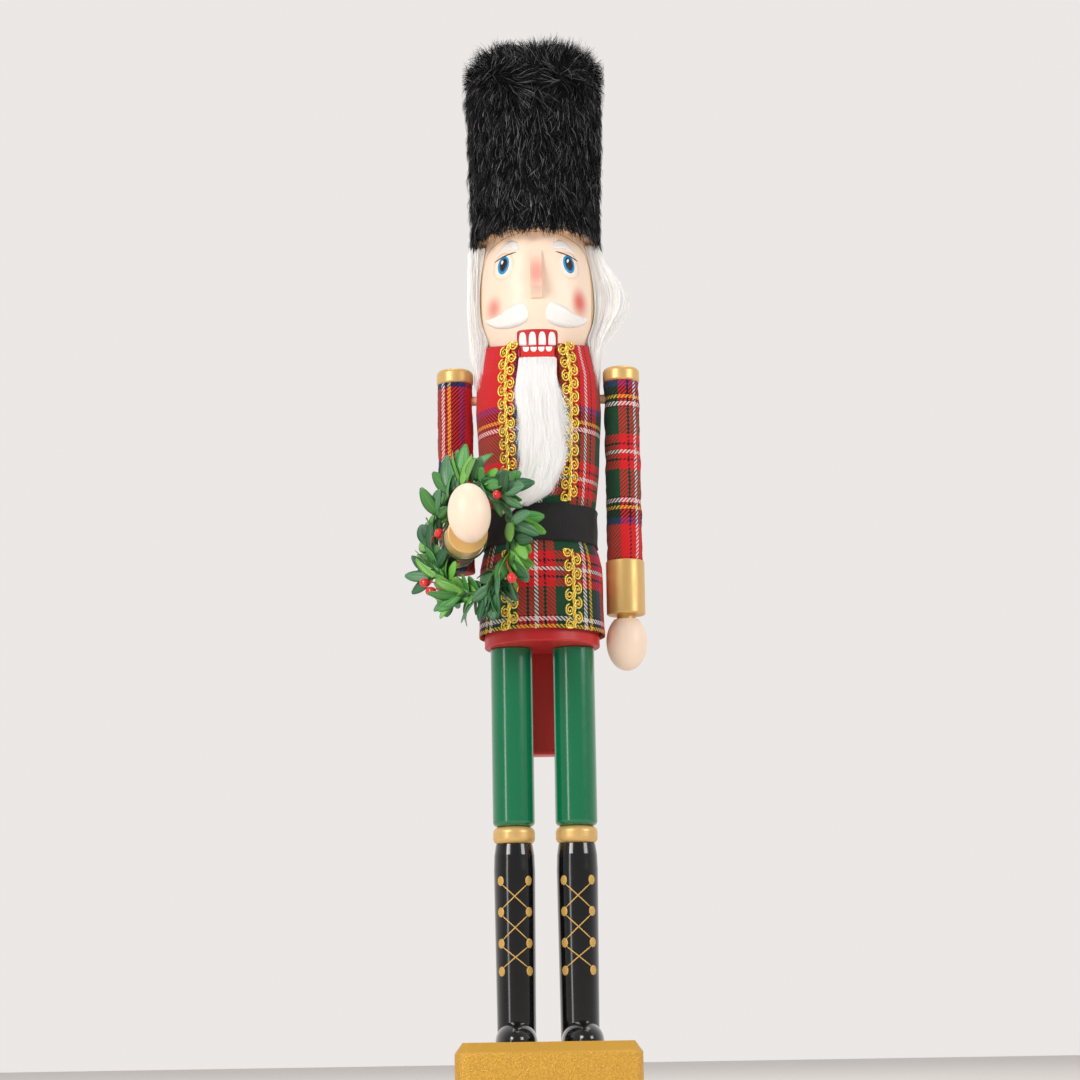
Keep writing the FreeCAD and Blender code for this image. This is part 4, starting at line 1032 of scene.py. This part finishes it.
def strands(name, paths, widths, rolls, materials, tones, softness=0.0, **settings):
    """Flat tapering fibres. Paths is strands by points by 3, and a roll turns a strand about its own length.

    Softness, 0 to 1, turns the shading towards the pile's outside, as light scattered between fibres does.
    """
    along = unit(np.gradient(paths, axis=1))
    away = unit(paths - UP * paths[..., 2:3])
    flat = unit(np.cross(along, away))
    edge = np.cross(along, flat)
    side = flat * np.cos(rolls)[:, None, None] + edge * np.sin(rolls)[:, None, None]
    count, stations = paths.shape[:2]
    taper = np.linspace(1, 0.12, stations)[None, :, None]
    half = widths[:, None, None] / 2 * taper
    points = np.stack((paths - side * half, paths + side * half), axis=2).reshape(-1, 3)
    station = np.arange(stations - 1) * 2
    quads = np.stack((station, station + 1, station + 3, station + 2), axis=1)
    faces = (quads[None] + (np.arange(count) * stations * 2)[:, None, None]).reshape(-1, 4)
    made = make_piece(name, points, faces, materials, **settings)
    tone_of_faces = np.repeat(tones, stations - 1).astype(np.int32)
    made.data.polygons.foreach_set("material_index", tone_of_faces)
    if softness:
        lean = np.cross(side, along)
        lean *= np.where(np.sum(lean * away, axis=-1, keepdims=True) < 0, -1, 1)
        shading = unit(away * softness + lean * (1 - softness))
        normals = np.repeat(shading, 2, axis=1).reshape(-1, 3)
        made.data.normals_split_custom_set_from_vertices(normals.tolist())
    return made


def revolved(name, profile, material, sides=96, **settings):
    """A closed skin turned about the figure's own axis from (radius, height) points."""
    turns = np.linspace(0, 2 * math.pi, sides, endpoint=False)
    gathered = Gathered()
    gathered.add_rings([outward(turns) * r + UP * z for r, z in profile])
    return gathered.piece(name, material, **settings)


# three tones of fur strands: deep and plain black, and light grey strands that are painted highlights
BLACK_TONES = [
    strand_finish("fur_black_deep", colour(4, 4, 5), 0.6, 0.12),
    strand_finish("fur_black", colour(18, 18, 20), 0.45, 0.3),
    strand_finish("fur_black_painted_highlight", colour(98, 98, 103), 0.34, 0.7),
]
PALE = (("", colour(254, 253, 251)), ("_cool", colour(246, 246, 248)), ("_warm", colour(254, 251, 246)))
PALE_BACKING = (colour(236, 234, 232), colour(252, 250, 248))
WHITE_TONES = [strand_finish("hair_white" + tone, rgb, 0.6) for tone, rgb in PALE]
# the locks' materials glow a little: a painted glow for the light passed on inside the locks
HAIR_TONES = [strand_finish("lock_white" + tone, rgb, 0.6, painted_glow=0.05) for tone, rgb in PALE]
hat_low, hat_high = node_box("hat_fur")
PILE = 6.5
FUR_EDGE, FUR_REACH = 736.0, 63.5
CROWN_FROM, CROWN_DEEP = 866.0, 26
SWIRL_HEIGHT, SWIRL_WIDE, SWIRL_TALL = hat_high[2] - 22, 0.55, 26
BACKING_INSIDE = 50.9
hat_profile = smooth_curve(
    (
        (2.0, hat_high[2] - PILE + 2),
        (28.0, hat_high[2] - PILE + 0.5),
        (46.0, hat_high[2] - PILE - 2.5),
        (53.6, hat_high[2] - PILE - 9),
        (55.2, hat_high[2] - PILE - 24),
        (55.2, hat_high[2] - 60),
        (53.4, hat_low[2] + 50),
        (52.6, max(hat_low[2] + 1, FUR_EDGE + 3)),
    ),
    60,
)
hat_backing = hat_profile[hat_profile[:, 1] > FUR_EDGE + 6]
revolved(
    "hat_pile_backing",
    [*hat_backing, (BACKING_INSIDE, hat_backing[-1][1] - 0.5), (BACKING_INSIDE, hat_backing[-1][1] + 5)],
    pile_backing("fur_backing_black", colour(3, 3, 4), colour(12, 12, 14)),
    body="figure",
    slot="black_fur",
    stands_for=("hat_fur",),
)


def hat_fur(name, count, seed):
    """Pile rooted all over the hat: tufts combed down from a swirl high on its front, raised on the crown."""
    pick = np.random.default_rng(seed)
    steps = np.linalg.norm(np.diff(hat_profile, axis=0), axis=1)
    reach = np.concatenate(((0,), np.cumsum(steps)))
    at = reach[-1] * pick.uniform(0, 1, count * 2)
    radius = np.interp(at, reach, hat_profile[:, 0])
    kept = pick.uniform(0, 56, count * 2) < radius
    at, radius = at[kept][:count], radius[kept][:count]
    count = len(at)
    height = np.interp(at, reach, hat_profile[:, 1])
    turn = pick.uniform(-math.pi, math.pi, count)
    slope = np.gradient(hat_profile, axis=0)
    run = np.interp(at, reach, slope[:, 0])
    drop = np.interp(at, reach, slope[:, 1])
    out = outward(turn)
    down = unit(out * run[:, None] + UP * drop[:, None])
    aside = np.cross(UP, out)
    away = np.cross(aside, down)
    away *= np.sign(np.sum(away * (out + UP * 0.6), axis=1))[:, None]
    root = out * radius[:, None] + UP * height[:, None]
    tuft = ripple(root, 30, 61) * 0.38 + ripple(root, 9, 62) * 0.26
    swirl = np.exp(-((turn / SWIRL_WIDE) ** 2) - ((height - SWIRL_HEIGHT) / SWIRL_TALL) ** 2)
    lean = tuft + pick.normal(0, 0.15, count) + swirl * np.sin(turn * 5 + height / 9) * 1.6
    # on the crown the pile stands up, in spikes that are longest in the middle
    crown = clamped((height - CROWN_FROM) / CROWN_DEEP)
    combed = down * (1 - 1.1 * swirl - 1.2 * crown * pick.uniform(0.2, 1, count))[:, None]
    across = np.sin(turn) * radius / 50
    spike = clamped(0.55 + 0.6 * ripple(root, 9, 68)) * pick.uniform(0.2, 1, count)
    spike *= (1.35 - 0.6 * across**2) * (1 - 0.4 * clamped(-across))
    raised = (away * 0.35 + UP * 0.9) * (crown * spike)[:, None] * 1.3
    heading = unit(combed + raised + aside * lean[:, None])
    length = pick.uniform(12, 20, count) * (1 + 0.15 * ripple(root, 14, 63)) * (1 - 0.25 * crown)
    ragged = 2.5 * ripple(root, 7, 67) + pick.normal(0, 2.6, count)
    ragged += 5 * clamped((np.abs(turn) - 0.6) / 0.6)
    length = np.minimum(length, np.clip(height - FUR_EDGE + ragged, 2.5, None))
    lift = (PILE - 1.0) * (0.75 + 0.3 * ripple(root, 11, 64)) * pick.uniform(0.55, 1.15, count)
    share = np.linspace(0, 1, 4)[None, :, None]
    curl = aside * (ripple(root, 6, 65) * 2.6 + pick.normal(0, 0.5, count))[:, None]
    paths = root[:, None] + heading[:, None] * length[:, None, None] * share
    paths = paths + away[:, None] * (lift[:, None, None] * np.sin(share * 2.0)) + curl[:, None] * share**2
    # no strand reaches out past the hat's own outline
    over = np.clip(np.linalg.norm(paths[..., :2], axis=2) / FUR_REACH, 1, None)
    paths[..., :2] /= over[..., None]
    draw = pick.uniform(0, 1, count) + 0.16 * ripple(root, 4, 66)
    # tone 2, the lightest, marks the strands painted grey as highlights on the fur
    tones = np.where(draw > 0.88, 2, np.where(draw > 0.62, 1, 0))
    widths = pick.uniform(0.4, 0.9, count)
    rolls = pick.normal(0, 0.5, count)
    strands(name, paths, widths, rolls, BLACK_TONES, tones, body="figure", slot="black_fur")


for layer in range(3):
    hat_fur(f"hat_fur_pile_{layer + 1}", 17000, 70 + layer)

# white hair in one shell round the back of the head, longer at the two sides
hair_low, hair_high = node_box("hair")
HAIR_OPEN = math.radians(79)
CAP_ROWS, CAP_COLUMNS = 30, 72
COLLAR_TOP = 647
HEAD_HEIGHTS = np.linspace(head_low[2] + 1, head_high[2] - 1, 28)
HEAD_RADII = [head_skin.tree.ray_cast(Vector((300, 0, z)), Vector((-1, 0, 0)))[0].x for z in HEAD_HEIGHTS]


def beside_head(height):
    """The radius just outside the head at that height, or outside the collar below it."""
    collar = jacket_radius(height) * (height <= COLLAR_TOP)
    return np.maximum(np.interp(height, HEAD_HEIGHTS, HEAD_RADII), collar) + 0.6


cap_points = []
angles = np.linspace(HAIR_OPEN + 0.03, 2 * math.pi - HAIR_OPEN - 0.03, CAP_COLUMNS)
for share in np.linspace(0, 1, CAP_ROWS):
    z = hair_high[2] - 0.3 - share * (hair_high[2] - hair_low[2] - 1)
    grown = 52.6 + 2.6 * math.sin(math.pi * min(1, share * 1.05))
    rim = clamped((math.pi - HAIR_OPEN - np.abs(angles - math.pi)) / 0.3)
    cover = beside_head(z) + (grown - beside_head(z)) * rim
    cap_points.append(outward(angles) * cover[:, None] + UP * z)
hair_cap = make_piece(
    "hair_backing",
    cap_points,
    grid_faces(CAP_ROWS, CAP_COLUMNS),
    pile_backing("hair_backing_white", *PALE_BACKING),
    body="figure",
    slot="white_fur",
    stands_for=("hair",),
)
thick = hair_cap.modifiers.new("shell", "SOLIDIFY")
thick.thickness, thick.offset = 1.2 * MM, 0


SIDE_END, PUFF_HEIGHT, NECK = 604, 688, 660
LOCK_TOP, LOCK_END = 748, 600
ARM_TOP, BETWEEN_ARMS = 638, 56.0
SIDE_UNTIL, SIDE_FADE = math.radians(132), math.radians(38)


def hair(name, count, seed):
    """Long locks that start under the hat, follow the head and fall between the arms and the jacket."""
    pick = np.random.default_rng(seed)
    angle = pick.uniform(HAIR_OPEN - 0.06, 2 * math.pi - HAIR_OPEN + 0.06, count)
    folded = np.where(angle > math.pi, angle - 2 * math.pi, angle)
    edge = clamped((SIDE_UNTIL - np.abs(folded)) / SIDE_FADE)
    depth = pick.uniform(0, 1, count)
    start = hair_high[2] - pick.uniform(0, 1, count) ** 2 * 55
    back_end = hair_low[2] + pick.uniform(-3, 7, count)
    side_end = SIDE_END + pick.uniform(0, 26, count) + 10 * (1 - depth)
    end = back_end * (1 - edge) + side_end * edge
    share = np.linspace(0, 1, 14)
    z = start[:, None] + (end - start)[:, None] * share
    puff = np.exp(-(((z - PUFF_HEIGHT) / 30) ** 2))
    radius = 52.2 + depth[:, None] * (3.6 + 1.4 * puff)
    # the left side's locks stand far off the cheek, the right side's only a little
    left_lock, right_lock = (
        (np.clip(turned, 0, None) / 1.6 * clamped(1.25 - np.abs(turned - 1.55)))[:, None]
        for turned in (folded, -folded)
    )
    radius = radius + left_lock * puff * 24 * depth[:, None] ** 1.8
    grown = clamped((LOCK_TOP - z) / 8) * clamped((z - LOCK_END) / 40)
    radius = radius + right_lock * 3.6 * depth[:, None] * grown
    below = clamped((NECK - z) / 50)
    radius = radius - below * (6 - 4 * depth)[:, None] * edge[:, None]
    root = outward(angle) * 55 + UP * start[:, None]
    # near the face the inner locks lie close to the head
    hug = np.clip((np.abs(folded) - HAIR_OPEN + 0.06) / 0.35, 0.1, 1)[:, None]
    hug = np.maximum(hug, depth[:, None] ** 1.5)
    radius = beside_head(z) + (radius - beside_head(z)) * hug
    waved = np.stack((folded[:, None] * 30 + 0 * z, z * 0.5, depth[:, None] * 8 + 0 * z), axis=-1)
    wave = ripple(waved, 38, seed % 7 + 80)
    swing = 0.05 * wave + 0.03 * ripple(root, 8, 84)[:, None] * share
    turn = angle[:, None] + swing + np.where(folded > 0, -1, 1)[:, None] * below * 0.16 * edge[:, None]
    radius = radius + 0.8 * wave
    paths = outward(turn) * radius[..., None] + UP * z[..., None]
    limit = np.where(z < ARM_TOP, BETWEEN_ARMS, FAR_OUT)
    paths[..., 0] = np.clip(paths[..., 0], -limit, limit)
    tones = np.clip(np.round(ripple(root, 10, 85) + pick.normal(0.4, 0.7, count)), 0, 2).astype(int)
    widths = pick.uniform(0.3, 0.55, count)
    rolls = pick.uniform(-math.pi / 2, math.pi / 2, count)
    strands(name, paths, widths, rolls, HAIR_TONES, tones, body="figure", slot="white_fur")


for layer in range(2):
    hair(f"hair_locks_{layer + 1}", 7000, 90 + layer)

# the beard hangs from the jaw: straight at the top, fuller below, its tip swept to the figure's right.
# each table pairs a drop below the beard's top with the middle line, half width, front or back there
BEARD_MIDDLE = (
    (0, 0.0), (17, -0.8), (32, 0.2), (50, 0.0), (68, 2.2), (83, 3.4),
    (98, 1.2), (109, -2.2), (120, -8.6), (127, -16.5), (137, -27.0),
)
BEARD_HALF = (
    (0, 15.0), (17, 16.2), (32, 16.8), (50, 15.2), (68, 16.4), (83, 17.2),
    (98, 16.8), (109, 16.2), (120, 15.8), (127, 12.5), (137, 5.0),
)
BEARD_FRONT = ((0, 51.5), (8, 58.0), (30, 63.0), (70, 66.5), (110, 65.5), (137, 61.5))
BEARD_BACK = ((0, 48.6), (8, 52.5), (20, 54.9), (60, 55.2), (110, 55.6), (137, 57.0))
BEARD_TOP = beard_high[2]
BEARD_DROP = BEARD_TOP - beard_low[2]


def beard_place(side, depth, drop):
    """A point of the beard: side from -1 to 1, depth from 0 at the back to 1, and how far below its top."""
    across = np.interp(drop, *zip(*BEARD_MIDDLE)) + side * np.interp(drop, *zip(*BEARD_HALF))
    back, front = np.interp(drop, *zip(*BEARD_BACK)), np.interp(drop, *zip(*BEARD_FRONT))
    crown = 1 - 0.35 * np.abs(side) ** 3
    return np.stack((across, -(back + (front - back) * depth * crown), BEARD_TOP - drop), axis=-1)


beard_rings = []
around = np.linspace(0, 2 * math.pi, 36, endpoint=False)
for drop in np.linspace(0.2, BEARD_DROP - 12, 40):
    share = 0.93 * (1 - 0.5 * (drop / BEARD_DROP) ** 6)
    side = np.clip(np.cos(around) * 1.06, -1, 1) * share
    depth = clamped(0.5 + np.sin(around) * 0.46) * 0.82
    beard_rings.append(beard_place(side, depth, np.full(len(around), drop)))
beard_core = Gathered()
beard_core.add_rings(beard_rings)
beard_finish = pile_backing("beard_backing", *PALE_BACKING)
core = beard_core.piece("beard_core", beard_finish, slot="white_fur", stands_for=("beard",))


def beard(name, count, seed):
    """Overlapping locks: most of them in the front layer, the rest at the two sides."""
    pick = np.random.default_rng(seed)
    side = pick.uniform(-1, 1, count)
    front = pick.uniform(0, 1, count) < 0.7
    depth = np.where(front, pick.uniform(0.82, 1.0, count), pick.uniform(0.02, 1.0, count))
    side = np.where(front, side, np.sign(side) * pick.uniform(0.88, 1.05, count))
    start = pick.uniform(0, 1, count) ** 1.1 * (BEARD_DROP - 24)
    end = start + pick.uniform(26, 56, count)
    end = np.minimum(end, BEARD_DROP - pick.uniform(-2, 12, count) - 7 * (side > 0.3))
    share = np.linspace(0, 1, 10)
    drop = start[:, None] + (end - start)[:, None] * share
    clump = ripple(np.stack((side * 14, depth * 4, start * 0.1), axis=1), 6, 101)
    stray = pick.normal(0, 0.10, count) + (pick.uniform(0, 1, count) < 0.05) * pick.normal(0, 0.35, count)
    loose_lock = np.exp(-(((start - 20) / 9) ** 2)) * (side > 0.72) * pick.uniform(0.2, 0.9, count)
    bend = (0.10 * clump + stray + loose_lock)[:, None] * share**2
    drift = side[:, None] + bend
    waved = np.stack((side[:, None] * 16 + 0 * drop, drop, depth[:, None] * 6 + 0 * drop), axis=-1)
    wave = 0.06 * ripple(waved, 30, 102)
    paths = beard_place(drift + wave, (depth[:, None] + 0.10 * wave) * np.ones_like(drop), drop)
    tones = np.clip(np.round(clump * 0.6 + pick.normal(0.5, 0.6, count)), 0, 2).astype(int)
    widths = pick.uniform(0.28, 0.5, count)
    rolls = pick.normal(0, 0.5, count)
    return strands(name, paths, widths, rolls, WHITE_TONES, tones, softness=0.65, slot="white_fur")


beard_pieces = [core, beard("beard_locks_1", 7500, 110), beard("beard_locks_2", 7500, 111)]
for piece in beard_pieces:
    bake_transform(piece)

# ---------------------------------------------------------------- wreath

ring_low, ring_high = node_box("wreath_ring")
WREATH = (ring_low + ring_high) / 2
RING = 46.0
TURNED = math.radians(45)
ACROSS = np.array((math.cos(TURNED), -math.sin(TURNED), 0.0))
FACING = np.array((-ACROSS[0], ACROSS[1], 0.0))


def ring_point(angle, reach=RING, lift=0.0):
    """A point by its angle in degrees from the wreath's near side, its distance out and its lift."""
    turn = math.radians(angle)
    return WREATH + (ACROSS * math.cos(turn) + UP * math.sin(turn)) * reach + FACING * lift


LEAF_STATIONS = 9
LEAF_HALF_THICK = 0.22


def leaf(gathered, root, heading, face, length, width, fold, arch, tone):
    """One closed boxwood leaf with a folded midrib, arched back along its length."""
    heading = unit(heading)
    face = unit(face - heading * np.dot(face, heading))
    aside = np.cross(heading, face)
    rings, extras = [], []
    for station in range(LEAF_STATIONS):
        share = station / (LEAF_STATIONS - 1)
        half = width / 2 * max(0.08, math.sin(math.pi * (0.04 + 0.93 * share) ** 0.92)) ** 0.62
        spine = root + heading * length * share + face * (arch * length * (share - share**2 * 1.6))
        ring = []
        for layer, places in ((1, (-1, -0.5, 0, 0.5, 1)), (-1, (0.5, 0, -0.5))):
            for place in places:
                off = abs(place) * fold * half + layer * LEAF_HALF_THICK * (1.4 - abs(place))
                ring.append(spine + aside * half * place + face * off)
                extras.append((place, share, tone))
        rings.append(ring)
    gathered.add_rings(rings, extras)


GREENS = (
    ("leaf_mid", colour(74, 150, 66), colour(150, 200, 120)),
    ("leaf_bright", colour(114, 184, 74), colour(176, 222, 130)),
    ("leaf_deep", colour(46, 102, 62), colour(110, 160, 110)),
    ("leaf_grey", colour(84, 142, 96), colour(160, 200, 160)),
)
leaves = [Gathered() for _ in GREENS]
twigs = Gathered()
pick = np.random.default_rng(7)
SPRIGS, INNER = 50, 10
# angles round the ring: where it is bare, where the sprigs stand tall and where some grow inwards
BARE_FROM, BARE_TO = 20, 44
TALL_FROM, TALL_TO = 98, 134
INNER_FROM, INNER_SPAN = 205.0, 125.0
STEMS = {"plain": 7, "tall": 11, "inner": 2}
LEAF_SIZES = {"plain": 1.0, "tall": 1.3, "inner": 0.8}
for sprig in range(SPRIGS + INNER):
    inside = sprig >= SPRIGS
    angle = 360 * (sprig + pick.uniform(-0.3, 0.3)) / SPRIGS
    if inside:
        angle = INNER_FROM + INNER_SPAN * (sprig - SPRIGS + pick.uniform(-0.3, 0.3)) / INNER
    if BARE_FROM < angle < BARE_TO:
        continue
    turn = math.radians(angle)
    outward = ACROSS * math.cos(turn) + UP * math.sin(turn)
    round_the_ring = -ACROSS * math.sin(turn) + UP * math.cos(turn)
    spread = pick.normal(0, 0.5)
    reach = pick.uniform(-1.3, -0.5) if inside else pick.uniform(-0.25, 1.0)
    growth = "inner" if inside else "plain"
    if not inside and TALL_FROM < angle < TALL_TO:
        growth = "tall"
        reach += 0.9
    heading = unit(outward * reach + round_the_ring * -0.85 + FACING * spread * 0.7)
    root = ring_point(angle, RING + pick.uniform(-2, 2), pick.uniform(-2, 3))
    stem = STEMS[growth] + 5 * pick.uniform(0, 1)
    tip = root + heading * stem + outward * 2
    twigs.add_tube(smooth_curve((root, root + heading * stem * 0.6 + FACING, tip), 6), 0.75, 5)
    for share, swing in ((1.0, 0.0), (0.75, 0.75), (0.4, -0.75)):
        base = root + heading * stem * share
        swung = unit(heading + np.cross(FACING, heading) * swing + FACING * pick.normal(0, 0.3))
        face = unit(FACING + outward * pick.normal(0, 0.5) + round_the_ring * pick.normal(0, 0.5))
        kind = pick.choice(4, p=(0.34, 0.26, 0.24, 0.16))
        leaf(
            leaves[kind],
            base,
            swung,
            face,
            pick.uniform(20, 27) * LEAF_SIZES[growth],
            pick.uniform(9.5, 13.0),
            pick.uniform(0.05, 0.22),
            pick.uniform(-0.1, 0.25),
            pick.uniform(0, 1),
        )
for kind, (name, rgb, vein) in enumerate(GREENS):
    stands_for = ("wreath_foliage",) if kind == 0 else ()
    finish = leaf_finish(name, rgb, vein)
    leaves[kind].piece(name + "_leaves", finish, body="wreath", slot="leaf_green", stands_for=stands_for)

# twisted wire and twigs round the ring itself
TWIST, TWISTS = 2.1, 9
for strand in range(3):
    path = []
    for angle in np.linspace(0, 360, 181):
        phase = math.radians(angle * TWISTS + strand * 120)
        path.append(ring_point(angle, RING + TWIST * math.cos(phase), TWIST * math.sin(phase)))
    twigs.add_tube(path, 1.3, 7)
twig_green = painted_wood("twig_green", colour(52, 92, 50), 0.6, mottle=0.2)
twigs.piece("wreath_twigs", twig_green, body="wreath", slot="wire_green")

BERRY, BERRY_HALF_LENGTH = 4.0, 4.6
# each berry's angle round the ring, its distance out and its lift
BERRIES = ((38, 50.5, 9), (163, 31.9, 9), (-35, 70.1, 11), (-138, 56.9, 8), (-148, 57.0, 9))
berries, stems = Gathered(), Gathered()
for angle, reach, lift in BERRIES:
    place = ring_point(angle, reach, lift)
    root = ring_point(angle + 14, RING + 1, 2)
    hang = unit(place - root)
    rings = []
    for share in np.linspace(0, math.pi, 14):
        swell = BERRY * math.sin(share) ** 0.9 * 0.92 + 0.15
        back = BERRY_HALF_LENGTH * math.cos(share)
        rings.append(tube_rings([place - hang * back, place - hang * (back - 0.1)], swell, 16)[0])
    berries.add_rings(rings)
    bow = (root + place) / 2 + FACING * 3 + UP * 1.5
    stems.add_tube(smooth_curve((root, bow, place - hang * 4.2), 12), 0.6, 6)
berries.piece(
    "wreath_berries_red",
    painted_wood("berry_red", colour(222, 34, 40), 0.2, sunk=0.05, coat_weight=0.5, coat_roughness=0.1),
    body="wreath",
    slot="berry_red",
    stands_for=("wreath_berries",),
)
stem_red = painted_wood("stem_red", colour(186, 40, 36), 0.5)
stems.piece("wreath_berry_stems", stem_red, body="wreath", slot="berry_red")
